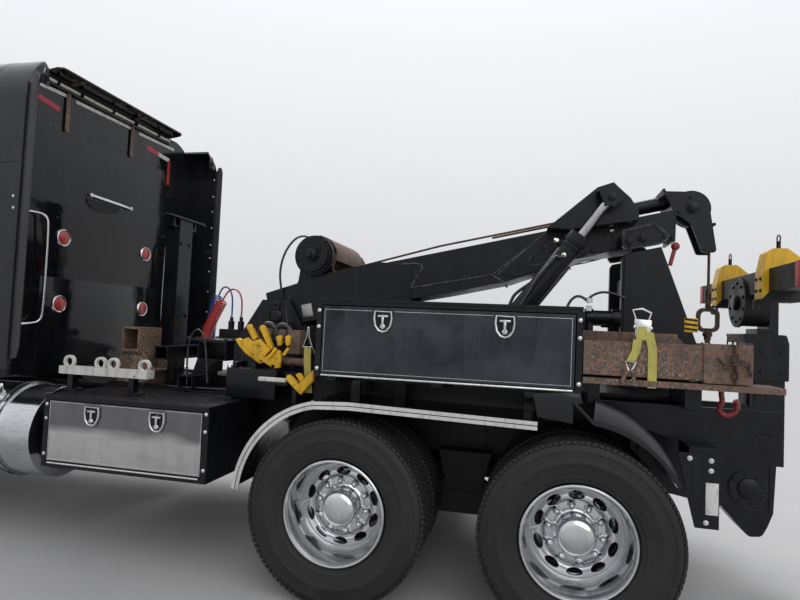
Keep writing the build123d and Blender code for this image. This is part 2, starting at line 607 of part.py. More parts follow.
def toolbox(box, door):
    """A steel box with a rolled lip along its top, open on its outer side for the door."""
    front, rear, bottom, top, inner, outer = box
    form = block(front, rear, inner, outer, bottom, top)
    form += block(front, rear, outer - 30, outer + 8, top - 14, top)
    form -= block(front - BOX_WALL, rear + BOX_WALL, inner + BOX_WALL, outer - 24, bottom + BOX_WALL,
                  top - BOX_WALL)
    x1, x0, z0, z1 = door
    return form - block(x1, x0, outer - 40, outer + 5, z0, z1)


def latch_outline(x, z, grow):
    """The D shape of a paddle latch: flat above, round below, grown by an edge width."""
    half = 48.0 + grow
    return [(x - half, z + 56 + grow), (x + half, z + 56 + grow), (x + half * 1.05, z - 10),
            (x + half * 0.5, z - 62 - grow), (x - half * 0.5, z - 62 - grow), (x - half * 1.05, z - 10)]


def toolbox_door(door, latches, outer):
    """A drop-down door with its sunk paddle latches."""
    front, rear, bottom, top = door
    panel = block(front - GAP, rear + GAP, outer - 22, outer, bottom + GAP, top - GAP)
    corners = [18, 18, 30, 30, 30, 30]
    for x in latches:
        z = top - 78
        panel += plate_xz(latch_outline(x, z, 13), outer - 5, outer + 7, corners)
        panel -= plate_xz(latch_outline(x, z, 0), outer - 14, outer + 8, corners)
        panel += rod_y(x, z + 26, 13, outer - 16, outer + 4)
        panel += block(x - 7, x + 7, outer - 8, outer + 2, z - 30, z + 26)
        paddle = [(x - 42, z - 34), (x + 42, z - 34), (x + 26, z - 46), (x - 26, z - 46)]
        panel += plate_xz(paddle, outer - 10, outer + 3)
    return panel


def toolboxes():
    """The upper and lower boxes on both sides, with the brackets that hold them."""
    boxes = toolbox(UPPER_BOX, UPPER_DOOR) + toolbox(LOWER_BOX, LOWER_DOOR)
    for x in (2500, 1700):
        boxes += block(x, x - 100, RAIL_Y, 610, 860, 1000)
    shelf = [(700, DECK_Z - 25), (1150, DECK_Z + 10), (1150, UPPER_BOX[2]), (700, UPPER_BOX[2])]
    for x in (700, 80, -560):
        boxes += plate_yz(shelf, x, x + 60)
    return both(boxes)


def side_beams():
    """The rusty box beams behind the upper toolboxes, with their sleeves, angles and steps."""
    beam = block(-660, -1290, 1060, 1190, 1385, 1560) + block(-1230, -1450, 1050, 1200, 1375, 1570)
    beam -= block(-1300, -1460, 1062, 1188, 1387, 1558)
    beam += block(-660, -1200, 985, 1061, 1370, 1400) + block(-660, -1200, 985, 1000, 1370, 1560)
    angle = plate_xz([(-660, 1545), (-660, 1612), (-1140, 1612), (-1200, 1545)], 980, 1000)
    angle += block(-660, -1150, 900, 1000, 1600, 1612)
    step = block(-660, -1590, 1000, 1210, 1340, 1370)
    feet = block(-700, -760, 700, 1060, DECK_Z - 25, 1340)
    feet += block(-1260, -1180, 700, 1060, DECK_Z - 25, 1340)
    return both(beam + angle + step + feet)


def tandem_fenders():
    """The half-round front fender with its flat top, and the moulded quarter fender behind."""
    front = ring_sector(700, 555, 590, 578, 5, 78, 600, 1195)
    front += plate_xz([(830, 1130), (829, 1118), (-440, 1088), (-440, 1100)], 600, 1195)
    rear = ring_sector(-660, 600, 542, 528, 97, 152, 705, 1200)
    rear += plate_xz([(-732, 1134), (-722, 1124), (-612, 1232), (-622, 1246)], 705, 1200)
    rear += ring_sector(-660, 600, 549, 528, 97, 152, 1180, 1200)
    props = block(700, 760, 600, 640, 1105, DECK_Z - 25) + block(-420, -360, 600, 640, 1095, DECK_Z - 25)
    props += block(-700, -640, 650, 720, 1165, DECK_Z - 25)
    return both(front + rear + props)


# Boom

def bore_floor(x):
    """The height of the bore's floor at a place along the boom."""
    return BORE_FLOOR[1] + (BORE_FLOOR[0] - x) * tan(BOOM_SLOPE)


def boom_band(x0, x1, low, high, half):
    """A bar parallel to the boom, between two heights over the floor of its bore."""
    floor0, floor1 = bore_floor(x0), bore_floor(x1)
    line = [(x0, floor0 + low), (x1, floor1 + low), (x1, floor1 + high), (x0, floor0 + high)]
    return plate_xz(line, -half, half)


BOX_SIDE = [(720, 2045), (720, 1740), (560, 1775), (230, 1840), (-220, 1940), (-760, 2135), (-1060, 2190),
            (-1060, 2425)]
FISHPLATE = [(-147, 1985), (-475, 2300), (-1055, 2418), (-1055, 2200), (-760, 2145), (-290, 1975)]
HEX_PANEL = [(-345, 2050), (-478, 2238), (-905, 2293), (-918, 2167), (-633, 2106)]
EAR = [(-472, 2290), (-785, 2560), (-883, 2592), (-990, 2490), (-1045, 2405), (-1045, 2345), (-617, 2280)]
EAR_CAP = [(-776, 2522), (-872, 2562), (-958, 2474), (-876, 2405), (-815, 2432)]


def boom_foot():
    """The wide foot on the pivot: two cheek plates under a sloping top, with a rib and a boss on each."""
    cheek_line = [(1540, 1790), (1470, 1530), (1000, 1640), (700, 1730), (700, 2040), (1020, 1960)]
    between = [(1560, 1900), (1560, 1500), (950, 1640), (950, 1900)]
    foot = plate_xz(cheek_line, -380, 380) - plate_xz(between, -350, 350)
    rib = plate_xz([(1522, 1770), (1510, 1780), (1330, 1620), (1340, 1608)], 380, 388)
    closing = plate_xy([(700, 200), (700, 380), (480, 210), (480, 200)], 1760, 2040)
    boss = rod_y(*BOOM_PIVOT, 95, 340, 394)
    return foot + both(rib + boss + closing) + rod_y(*BOOM_PIVOT, 55, -425, 425)


def outer_boom():
    """The fabricated boom: foot, tapering box with fishplates, and the ears that take the lift rods."""
    box = plate_xz(BOX_SIDE, -BOX_HALF, BOX_HALF)
    fishplate = plate_xz(FISHPLATE, BOX_HALF, BOX_HALF + 10)
    fishplate -= plate_xz(HEX_PANEL, BOX_HALF + 3, BOX_HALF + 11, 18)
    ear = plate_xz(EAR, BOX_HALF - 5, 380) - plate_xz(shrunk(EAR, 0.88), BOX_HALF + 10, 366)
    cap = plate_xz(EAR_CAP, 480, 496) + rod_y(*LIFT_EYE, 26, 496, 500)
    roof = plate_xz([(-776, 2522), (-872, 2562), (-879, 2551), (-870, 2548), (-780, 2510)], 375, 485)
    boom = boom_foot() + box - boom_band(720, -1100, 0, BORE_H, BORE_HALF)
    return boom + both(fishplate + ear + cap + roof)


def winch():
    """The hydraulic winch on the boom's foot: side plates, flanged drum, planetary housing and motor."""
    x, z = WINCH
    drum = rod_y(x, z, 88, -300, 300) + both(rod_y(x, z, 140, 300, 318))
    housing = rod_y(x, z, 134, 318, 415) + rod_y(x, z, 148, 372, 392) + rod_y(x, z, 118, 415, 440)
    housing += rod_y(x, z, 52, 440, 462) + rod_y(x, z, 60, -430, -318) + rod_y(x, z, 34, -470, -430)
    base = plate_xz([(1310, 1866), (1030, 1958), (1030, 1975), (1310, 1883)], -340, 340)
    cheeks = plate_xz([(1030, 1958), (1310, 1866), (x + 118, z - 40), (x + 60, z + 60), (x - 60, z + 60),
                       (x - 118, z - 40)], 318, 334)
    cover = ring_sector(x, z, 158, 150, 70, 190, -325, 325)
    arms = ring_sector(x, z, 158, 60, 172, 190, 300, 318)
    return drum + housing + base + both(cheeks + arms) + cover


def lift_frame():
    """The unit vector of the lift cylinders and their length at rest."""
    dx, dz = LIFT_EYE[0] - LIFT_BASE[0], LIFT_EYE[1] - LIFT_BASE[1]
    length = hypot(dx, dz)
    return dx / length, dz / length, length


def along_lift(distance):
    """A point on a lift cylinder's axis, measured from its base pin."""
    ux, uz, _ = lift_frame()
    return LIFT_BASE[0] + ux * distance, LIFT_Y, LIFT_BASE[1] + uz * distance


def lift_barrels():
    """The pair of lift cylinders' barrels with their eyes, gland nuts and ports."""
    ux, uz, _ = lift_frame()
    barrel = rod_y(*LIFT_BASE, 75, LIFT_Y - LIFT_EYE_HALF, LIFT_Y + LIFT_EYE_HALF)
    barrel += rod_between(along_lift(60), along_lift(1080), 65)
    barrel += rod_between(along_lift(1030), along_lift(1100), 74)
    for place in (150, 985):
        foot = along_lift(place)
        barrel += rod_between(foot, (foot[0] + uz * 92, LIFT_Y, foot[2] - ux * 92), 16)
    barrel -= rod_y(*LIFT_BASE, 40 + RUN_FIT, LIFT_Y - 80, LIFT_Y + 80)
    return both(barrel - rod_between(along_lift(130), along_lift(1110), LIFT_ROD_R + 6))


def lift_rods():
    """The chromed rods and their eyes, each with its pin, between the plates of the boom's ears."""
    _, _, length = lift_frame()
    rod = rod_y(*LIFT_EYE, LIFT_EYE_R, LIFT_Y - LIFT_EYE_HALF, LIFT_Y + LIFT_EYE_HALF)
    return both(rod + rod_between(along_lift(150), along_lift(length - 20), LIFT_ROD_R))


HEAD = [(-1240, 2602), (-1457, 2595), (-1476, 2562), (-1524, 2520), (-1545, 2478), (-1592, 2180),
        (-1500, 2180), (-1429, 2373), (-1318, 2450), (-1282, 2530)]


def boom_extension():
    """The telescoping box with its curved tip plate, rope tube and sheave head."""
    body = boom_band(620, -1300, 7.5, 187.5, 155)
    tip = plate_xz([(-1296, 2240), (-1300, 2440), (-1268, 2520), (-1225, 2596), (-1240, 2606), (-1286, 2526),
                    (-1318, 2440), (-1316, 2240)], -150, 150, [4, 60, 60, 4, 4, 60, 60, 4])
    tube = rod_between((-1300, 0, 2540), (-620, 0, 2393), 48)
    head = plate_xz(HEAD, 62, 80, [5, 15, 15, 30, 60, 20, 20, 60, 5, 60]) + rod_y(*SHEAVE, 44, 80, 92)
    head += rod_y(-1520, 2200, 9, 80, 86) + rod_y(-1572, 2200, 9, 80, 86)
    sheave = rod_y(*SHEAVE, 127, -30, 30) - rod_y(*SHEAVE, 140, -12, 12) + rod_y(*SHEAVE, 116, -12, 12)
    sheave += rod_y(*SHEAVE, 28, -96, 96)
    back = plate_xz([(-1238, 2590), (-1306, 2430), (-1330, 2430), (-1262, 2590)], -62, 62)
    return body + tip + tube + both(head) + sheave + back


def ring_plate(points, width, y0, y1, radius):
    """A closed flat link: a rounded outline with its middle cut out."""
    xs, zs = [x for x, _ in points], [z for _, z in points]
    inner = []
    for x, z in points:
        inner.append((x + (width if x == min(xs) else -width), z + (width if z == min(zs) else -width)))
    return plate_xz(points, y0, y1, radius) - plate_xz(inner, y0 - 1, y1 + 1, radius - width * 0.6)


def hoist_hook():
    """The wire rope's end with its socket, bail, swivel and safety hook, hanging plumb from the head."""
    x = HOOK_X
    rope = rod_z(x, 0, 9, 1860, 2300) + rod_z(x, 0, 17, 1800, 1930)
    bail = ring_plate([(x - 72, 1642), (x + 72, 1642), (x + 72, 1806), (x - 72, 1806)], 24, -13, 13, 45)
    swivel = rod_z(x, 0, 22, 1588, 1668) + rod_z(x, 0, 30, 1612, 1640)
    hook = ring_sector(x, 1520, 60, 26, -215, 60, -14, 14) + block(x - 14, x + 14, -14, 14, 1565, 1600)
    latch = rod_between((x - 10, 0, 1572), (x - 44, 0, 1524), 6)
    return rope + bail + swivel + hook + latch


# Underlift

ARM = [(-1600, 880), (-1946, 880), (-1929, 502), (-1897, 414), (-1866, 350), (-1789, 341), (-1709, 428),
       (-1618, 528), (-1560, 700), (-1560, 790)]
LINK = [(-1590, 1045), (-1632, 1052), (-1662, 993), (-1745, 720), (-1700, 640), (-1600, 640), (-1560, 720)]


def underlift_arm():
    """The folding arm: knuckle body on its cross shaft, link plates, and a hollow column with a collar."""
    shaft = rod_y(*UNDERLIFT_PIVOT, 90, -500, 500) + rod_y(*UNDERLIFT_PIVOT, 60, -550, 550)
    body = plate_xz(ARM, -COLUMN_HALF, COLUMN_HALF, [20, 10, 20, 30, 40, 40, 40, 40, 40, 20])
    panel = [(-1754, 800), (-1905, 812), (-1905, 512), (-1758, 519)]
    for y0, y1 in ((COLUMN_HALF - 6, COLUMN_HALF + 1), (-COLUMN_HALF - 1, -COLUMN_HALF + 6)):
        body -= plate_xz(panel, y0, y1, 12)
    link = plate_xz(LINK, COLUMN_HALF, COLUMN_HALF + 35, [20, 20, 60, 40, 50, 50, 60])
    link += rod_y(*UNDERLIFT_PIVOT, 60, COLUMN_HALF + 35, COLUMN_HALF + 44)
    x1, x0 = COLUMN_X
    column = block(x1, x0, -COLUMN_HALF, COLUMN_HALF, 800, 1600)
    collar = plate_xz([(-1795, 1345), (-1795, 1580), (-1745, 1580), (-1730, 1640), (x0, 1640), (-2000, 1580),
                       (-2000, 1345)], -COLUMN_HALF - 20, COLUMN_HALF + 20, [8, 4, 4, 8, 20, 20, 8])
    boss = block(x1, -1960, COLUMN_HALF, COLUMN_HALF + 50, 900, 990)
    bore = block(STINGER_X[0] + 6, STINGER_X[1] - 6, -STINGER_HALF - 6, STINGER_HALF + 6, 900, 1700)
    return shaft + body + both(link + boss) + column + collar - bore


def stinger():
    """The sliding arm inside the column, with the tongue and pin that carry the crossbar."""
    front, rear = STINGER_X
    arm = block(front, rear, -STINGER_HALF, STINGER_HALF, 920, 1676)
    tongue = block(-1906, rear, -STINGER_HALF, STINGER_HALF, 1670, SWIVEL_Z)
    tongue += rod_x(0, SWIVEL_Z, STINGER_HALF, -1906, rear)
    return arm + tongue + rod_x(0, SWIVEL_Z, 40, -1730, rear)


def crossbar():
    """The crossbar on its swivel disc, with a fork holder towards each end."""
    front, rear = BAR_X
    disc = rod_x(0, SWIVEL_Z, 168, -1741, -1757) + rod_x(0, SWIVEL_Z, 158, -1757, rear)
    low, high = BAR_Z - BAR_SIZE / 2, BAR_Z + BAR_SIZE / 2
    bar = block(front, rear, -BAR_HALF, BAR_HALF, low, high)
    bar -= block(front - 12, rear + 12, 260, BAR_HALF + 10, low + 12, high - 12)
    bar -= block(front - 12, rear + 12, -BAR_HALF - 10, -260, low + 12, high - 12)
    cover = [(-1724, 1832), (-1724, 2000), (-1750, 2130), (-1780, 2152), (-1860, 2152), (-1935, 2090),
             (-1935, 1832)]
    sleeve = plate_xz(cover, 380, 500, [15, 30, 20, 20, 20, 20, 15]) - block(front, rear, 370, 510, low, high)
    eye = ring_plate([(-1748, 1780), (-1700, 1780), (-1700, 1848), (-1748, 1848)], 11, 420, 440, 18)
    return disc + bar + both(sleeve + eye) - rod_x(0, SWIVEL_Z, 40 + RUN_FIT, -1720, -1960)


# Deck equipment

def square_tube(x0, x1, half, z0, z1, wall=8.0):
    """A square tube across the truck with open ends."""
    inside = block(x0 + wall, x1 - wall, -half - 1, half + 1, z0 + wall, z1 - wall)
    return block(x0, x1, -half, half, z0, z1) - inside


def headboard_post():
    """The square post with its cradle, its cross tubes on the deck, and the air lines' couplings."""
    post = block(2486, 2616, -90, 90, FRONT_DECK_Z, 2400)
    saddle = [(2460, -230), (2500, -300), (2540, -300), (2530, 260), (2490, 300), (2460, 240)]
    cradle = plate_xy(saddle, 2400, 2412, 12)
    cradle += block(2500, 2600, -160, -140, 2330, 2400) + block(2500, 2600, 140, 160, 2330, 2400)
    cradle += block(2500, 2600, -160, -90, 2330, 2345) + block(2500, 2600, 90, 160, 2330, 2345)
    tubes = square_tube(1966, 2084, 600, FRONT_DECK_Z, 1165) + square_tube(1800, 2032, 450, 1275, 1415)
    tubes += square_tube(2250, 2360, 500, 1262, 1362) + block(1790, 2170, -450, 450, 1415, 1427)
    gusset = plate_xz([(2070, 1165), (2032, 1275), (1870, 1275), (1966, 1165)], 430, 450)
    legs = block(2032, 2250, 60, 100, 1290, 1350) + block(1960, 2060, 200, 260, 1165, 1275)
    legs += block(2290, 2340, 300, 360, FRONT_DECK_Z, 1262)
    block_top = 1500
    couplings = block(1940, 2170, -245, -75, 1427, block_top)
    for x, y in COUPLINGS:
        couplings += rod_z(x, y, 26, block_top, 1570) + rod_z(x, y, 15, 1570, COUPLING_TOP)
    fittings = None
    for x, y in COIL_FEET:
        fitting = rod_z(x, y, 18, 1362, COIL_FOOT_Z)
        fittings = fitting if fittings is None else fittings + fitting
    return post + cradle + tubes + both(gusset + legs) + couplings + fittings


SPREADER_EYES, EYE_R = (2110, 2350, 2450, 2700), 28
SPREADER_LEGS = (2190, 2668)


def spreader_bracket():
    """The white bar with ringed ears and a keel, on short legs that stand on the left lower box."""
    top = LOWER_BOX[3]
    bar = block(2062, 2750, 900, 980, 1165, 1218)
    bar += plate_xz([(2630, 1170), (2505, 1113), (2400, 1113), (2286, 1170)], 928, 952, [5, 30, 30, 5])
    for x in SPREADER_EYES:
        bar += rod_y(x, 1247, 44, 929, 951) + block(x - 36, x + 36, 929, 951, 1215, 1240)
        bar -= rod_y(x, 1247, EYE_R, 920, 960)
    for x in SPREADER_LEGS:
        bar += block(x - 20, x + 20, 915, 965, top, 1170) + block(x - 70, x + 30, 900, 980, top, top + 10)
    return bar


def receiver_stand():
    """A rusty square receiver tube that lies across, on a flared and gusseted foot."""
    tube = block(2500, 2650, 230, 500, 1310, 1492) - block(2514, 2636, 225, 505, 1324, 1478)
    for y in (300, 440):
        tube -= rod_x(y, 1410, 11, 2490, 2520)
    foot = plate_xz([(2490, 1300), (2660, 1300), (2760, 1180), (2380, 1180)], 450, 464)
    foot += plate_xz([(2490, 1300), (2660, 1300), (2760, 1180), (2380, 1180)], 250, 264)
    foot += block(2490, 2504, 250, 464, 1180, 1310) + block(2646, 2660, 250, 464, 1180, 1310)
    plinth = block(2350, 2790, 210, 540, 1168, 1180) + block(2420, 2740, 240, 510, FRONT_DECK_Z, 1168)
    return tube + foot + block(2490, 2660, 245, 490, 1300, 1310) + plinth


FORK = [(1533, 1439), (1401, 1331), (1300, 1262), (1241, 1268), (1274, 1345), (1337, 1395), (1373, 1485),
        (1400, 1556), (1440, 1556), (1428, 1470), (1455, 1462), (1490, 1550), (1532, 1556), (1524, 1478)]


def tow_forks():
    """The yellow lift forks in their rack on the deck, and the V fork on the lower box's shelf."""
    forks = plate_xz(FORK, 690, 722, 12)
    forks += Pos(-150, -110, -12) * plate_xz(FORK, 690, 722, 12)
    forks += plate_xz([(1598, 1452), (1560, 1456), (1376, 1312), (1416, 1296)], 735, 765, 6)
    rack = block(1240, 1600, 560, 780, DECK_Z, 1262) + block(1300, 1420, 590, 740, 1262, 1300)
    rack += rod_y(1400, 1340, 22, 560, 775)
    vee_line = [(1062, 1257), (1036, 1264), (965, 1205), (894, 1304), (889, 1200), (965, 1140), (1067, 1213)]
    vee = plate_xz(vee_line, 985, 1015)
    vee += block(1068, 1253, 985, 1010, 1212, 1236) + block(940, 1000, 980, 1010, 1126, 1160)
    return forks + rack + vee


# Air lines: each rises from a foot on the cross tube as a coil, then arches over to its coupling

COIL_FEET = ((2305.0, -100.0), (2335.0, -215.0))
COUPLINGS = ((1985.0, -100.0), (2138.0, -215.0))
COIL_FOOT_Z, COUPLING_TOP = 1390.0, 1600.0
COIL_R, LINE_R = 46.0, 7.0
ARC_SHARE = 0.45             # share of a run that its arc may take
RED_COIL = [(2305, 1390), (2305, 1450), (2245, 1590), (2165, 1745)]
RED_LEAD = [(2165, 1745), (2140, 1800), (2085, 1845), (2020, 1825), (1988, 1755), (1985, 1680), (1985, 1600)]
BLUE_COIL = [(2335, 1390), (2335, 1500), (2315, 1650), (2272, 1790)]
BLUE_LEAD = [(2272, 1790), (2255, 1840), (2215, 1868), (2168, 1845), (2142, 1780), (2138, 1690), (2138, 1600)]


def bent_tube(points, y, radius):
    """A round tube along straight runs joined by the largest tangent arcs that fit."""
    places = [Vector(x, y, z) for x, z in points]
    runs = [b - a for a, b in zip(places, places[1:])]
    bends = []
    for a, b in zip(runs, runs[1:]):
        bends.append(ARC_SHARE * min(a.length, b.length) / tan(radians(a.get_angle(b)) / 2))
    path = FilletPolyline(*places, radius=bends)
    print("air line radii", [round(r) for r in bends])
    return sweep(Plane(origin=path @ 0, z_dir=path % 0) * Circle(radius), path)


def air_hose(coil, lead, y):
    """A coiled air line's outer shape: a fat tube for the coil and a thin one for its lead."""
    return bent_tube(coil, y, COIL_R) + bent_tube(lead, y, LINE_R)


def build():
    """Write every node."""
    os.makedirs("parts", exist_ok=True)
    makers = (chassis_frame, engine_block, front_axle, drive_axles, front_bumper, cab_shell, windscreen,
              cab_interior, sleeper_shell, sleeper_fairings, exhaust_stacks, air_cleaners, fuel_tanks,
              cab_steps, headboard_post, tow_deck, boom_supports, toolboxes, side_beams, tandem_fenders,
              spreader_bracket, receiver_stand, tow_forks, hood_shell, grille, headlamps, outer_boom, winch,
              lift_barrels, lift_rods, boom_extension, hoist_hook, underlift_arm, stinger, crossbar)
    for maker in makers:
        save(maker.__name__, maker())
    save("air_hose_red", air_hose(RED_COIL, RED_LEAD, COIL_FEET[0][1]))
    save("air_hose_blue", air_hose(BLUE_COIL, BLUE_LEAD, COIL_FEET[1][1]))
    upper_door = toolbox_door(UPPER_DOOR, UPPER_LATCHES, UPPER_BOX[5])
    lower_door = toolbox_door(LOWER_DOOR, LOWER_LATCHES, LOWER_BOX[5])
    paired = {"cab_door": cab_door(), "door_glass": door_glass(), "knuckle": knuckle(),
              "steer_wheel": steer_wheel(), "steer_tyre": tyre(STEER_X, STEER_TYRE_Y),
              "upper_box_door": upper_door, "lower_box_door": lower_door}
    for row, x in (("front", TANDEM_HALF), ("rear", -TANDEM_HALF)):
        paired[f"drive_wheels_{row}"] = dual_wheel(x)
        paired[f"drive_tyres_{row}"] = tyre(x, DUAL_OUTER_Y) + tyre(x, DUAL_INNER_Y)
    for name, shape in paired.items():
        for word, sign in (("left", 1), ("right", -1)):
            save(f"{name}_{word}", side(shape, sign))


build()
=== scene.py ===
import bmesh
import bpy
import json
from math import cos, pi, radians, sin
from mathutils import Matrix, Quaternion, Vector

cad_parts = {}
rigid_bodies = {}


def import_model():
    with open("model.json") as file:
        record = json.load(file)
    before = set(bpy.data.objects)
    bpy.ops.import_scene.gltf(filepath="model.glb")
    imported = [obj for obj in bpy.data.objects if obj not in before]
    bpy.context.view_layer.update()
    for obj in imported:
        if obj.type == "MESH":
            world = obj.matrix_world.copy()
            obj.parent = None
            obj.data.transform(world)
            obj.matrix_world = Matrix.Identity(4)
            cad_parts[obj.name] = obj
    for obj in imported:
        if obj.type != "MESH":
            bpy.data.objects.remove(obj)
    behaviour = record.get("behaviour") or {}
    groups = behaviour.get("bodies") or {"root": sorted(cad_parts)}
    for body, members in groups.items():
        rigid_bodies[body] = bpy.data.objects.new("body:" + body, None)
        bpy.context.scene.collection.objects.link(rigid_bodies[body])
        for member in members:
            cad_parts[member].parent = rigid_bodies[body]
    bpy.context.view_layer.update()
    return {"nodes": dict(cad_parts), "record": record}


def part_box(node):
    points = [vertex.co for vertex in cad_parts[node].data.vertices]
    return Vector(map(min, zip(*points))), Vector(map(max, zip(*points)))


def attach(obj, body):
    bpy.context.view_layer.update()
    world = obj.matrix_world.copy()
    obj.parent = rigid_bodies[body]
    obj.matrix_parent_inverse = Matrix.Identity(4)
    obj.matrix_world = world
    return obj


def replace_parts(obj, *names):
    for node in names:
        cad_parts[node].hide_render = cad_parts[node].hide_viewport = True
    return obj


# The looks of a heavy recovery truck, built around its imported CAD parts.
# Metres, in the row frame: X forward, Y to the truck's left, Z up from the ground.
# Places along the truck are measured from the middle of the tandem, and spot() shifts them.

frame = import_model()
nodes = frame["nodes"]


def middle(node):
    """The middle of a CAD node's box."""
    low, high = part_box(node)
    return (Vector(low) + Vector(high)) / 2


TANDEM = (middle("drive_tyres_front_left").x + middle("drive_tyres_rear_left").x) / 2
LEFT, RIGHT = 1, -1
SIDES = ((LEFT, "left"), (RIGHT, "right"))
X, Y, Z = Vector((1, 0, 0)), Vector((0, 1, 0)), Vector((0, 0, 1))


def spot(x, y, z):
    """A point whose x is measured from the middle of the tandem."""
    return Vector((x + TANDEM, y, z))


def drawn(y, line):
    """A line of (x, z) drawn in the upright plane at y."""
    return [spot(x, y, z) for x, z in line]


def facing(points, out, size=1.0, turn=0.0):
    """Spots for scatter that all face one way."""
    return [(p, out, size, turn) for p in points]


def full_turn(count):
    """The angles of even steps round a full turn."""
    return [2 * pi * k / count for k in range(count)]


def hoop(centre, u, v, radius, count):
    """Points of a circle in the plane of u and v."""
    return [centre + radius * (u * cos(t) + v * sin(t)) for t in full_turn(count)]


# Shader building

class Nodes:
    """A shader tree under construction: a value that is a socket is linked, any other is set."""

    family = "ShaderNode"

    def __init__(self, tree):
        self.tree = tree

    def feed(self, socket, value):
        if isinstance(value, bpy.types.NodeSocket):
            self.tree.links.new(value, socket)
        else:
            socket.default_value = value

    def add(self, kind, inputs=(), **settings):
        node = self.tree.nodes.new(self.family + kind)
        for key, value in settings.items():
            setattr(node, key, value)
        for key, value in dict(inputs).items():
            self.feed(node.inputs[key], value)
        return node

    def math(self, operation, a, b=0.0, clamp=False):
        return self.add("Math", {0: a, 1: b}, operation=operation, use_clamp=clamp).outputs[0]

    def mix(self, share, a, b):
        return self.add("Mix", {0: share, 6: a, 7: b}, data_type="RGBA").outputs[2]

    def blend(self, share, a, b):
        return self.add("Mix", {0: share, 2: a, 3: b}, data_type="FLOAT").outputs[0]

    def ramp(self, value, low, high):
        return self.add("MapRange", {"Value": value, "From Min": low, "From Max": high}).outputs[0]

    def noise(self, place, scale, detail=4.0, rough=0.5):
        inputs = {"Vector": place, "Scale": scale, "Detail": detail, "Roughness": rough}
        return self.add("TexNoise", inputs).outputs[0]

    def cells(self, place, scale):
        return self.add("TexVoronoi", {"Vector": place, "Scale": scale}).outputs["Distance"]

    def stretch(self, place, factors):
        return self.add("VectorMath", {0: place, 1: factors}, operation="MULTIPLY").outputs[0]

    def object_place(self):
        return self.add("TexCoord").outputs["Object"]

    def height_above_ground(self, place):
        return self.add("SeparateXYZ", {0: place}).outputs[2]


def shader_group(name, inputs, outputs):
    """A node group with named inputs and outputs, as (builder, input sockets, output node)."""
    tree = bpy.data.node_groups.new(name, "ShaderNodeTree")
    for label, value in inputs.items():
        kind = "NodeSocketFloat" if isinstance(value, float) else "NodeSocketVector"
        socket = tree.interface.new_socket(label, in_out="INPUT", socket_type=kind)
        if isinstance(value, float):
            socket.default_value = value
    for label, kind in outputs.items():
        tree.interface.new_socket(label, in_out="OUTPUT", socket_type="NodeSocket" + kind)
    builder = Nodes(tree)
    return builder, tree.nodes.new("NodeGroupInput").outputs, tree.nodes.new("NodeGroupOutput").inputs


def edge_group():
    """Finds convex and concave edges, broken up by noise, and rounds the normal over them."""
    g, given, out = shader_group("worn_edges", {"Radius": 0.006, "Breakup": 25.0},
                                 {"Mask": "Float", "Normal": "Vector"})
    soft = g.add("Bevel", {"Radius": given["Radius"]}, samples=4).outputs[0]
    true = g.add("NewGeometry").outputs["Normal"]
    facing = g.add("VectorMath", {0: soft, 1: true}, operation="DOT_PRODUCT").outputs["Value"]
    edge = g.ramp(facing, 0.985, 0.8)
    broken = g.ramp(g.noise(g.object_place(), given["Breakup"], 5.0, 0.65), 0.42, 0.6)
    g.feed(out["Mask"], g.math("MULTIPLY", edge, broken))
    g.feed(out["Normal"], soft)
    return g.tree


def dust_group():
    """Road dust: low on the truck, on top of things, and in soft clouds."""
    g, given, out = shader_group("road_dust", {"Amount": 0.5, "Rise": 1.2}, {"Mask": "Float"})
    place = g.object_place()
    up = g.add("SeparateXYZ", {0: g.add("NewGeometry").outputs["Normal"]}).outputs[2]
    lying = g.math("MULTIPLY", g.ramp(up, 0.4, 1.0), 0.55)
    low = g.ramp(g.height_above_ground(place), given["Rise"], 0.0)
    cloud = g.ramp(g.noise(place, 2.3, 8.0, 0.6), 0.36, 0.68)
    grit = g.ramp(g.noise(place, 70.0, 3.0, 0.7), 0.2, 0.75)
    cover = g.math("MULTIPLY", g.math("ADD", lying, low), g.math("MULTIPLY", cloud, grit))
    g.feed(out["Mask"], g.math("MULTIPLY", cover, given["Amount"], clamp=True))
    return g.tree


def chip_group():
    """Chips: where a noise, helped by an edge mask, rises over a cut."""
    g, given, out = shader_group("chips", {"Scale": 20.0, "Cut": 0.62, "Edge": 0.0}, {"Mask": "Float"})
    place = g.object_place()
    coarse = g.noise(place, given["Scale"], 6.0, 0.68)
    wide = g.math("MULTIPLY", g.noise(place, 3.1, 3.0), 0.35)
    level = g.math("ADD", g.math("ADD", coarse, wide), g.math("MULTIPLY", given["Edge"], 0.16))
    level = g.math("SUBTRACT", level, given["Cut"])
    g.feed(out["Mask"], g.ramp(level, 0.16, 0.19))
    return g.tree


def streak_group():
    """Marks drawn out downwards, as water and rubbing leave."""
    g, given, out = shader_group("streaks", {"Across": 14.0, "Down": 0.9}, {"Mask": "Float"})
    factors = g.add("CombineXYZ", {0: given["Across"], 1: given["Across"], 2: given["Down"]}).outputs[0]
    drawn = g.noise(g.stretch(g.object_place(), factors), 1.0, 6.0, 0.6)
    g.feed(out["Mask"], g.ramp(drawn, 0.5, 0.72))
    return g.tree


def grain_group():
    """A fine even grain for paint, castings and rubber."""
    g, given, out = shader_group("fine_grain", {"Scale": 400.0}, {"Height": "Float"})
    place = g.object_place()
    fine = g.noise(place, given["Scale"], 2.0, 0.6)
    g.feed(out["Height"], g.blend(0.35, fine, g.noise(place, 45.0, 3.0)))
    return g.tree


def ripple_group():
    """The slow waves of thin sheet metal."""
    g, given, out = shader_group("sheet_ripple", {"Scale": 2.0}, {"Height": "Float"})
    place = g.object_place()
    g.feed(out["Height"], g.blend(0.18, g.noise(place, given["Scale"], 1.0), g.noise(place, 9.0, 2.0)))
    return g.tree


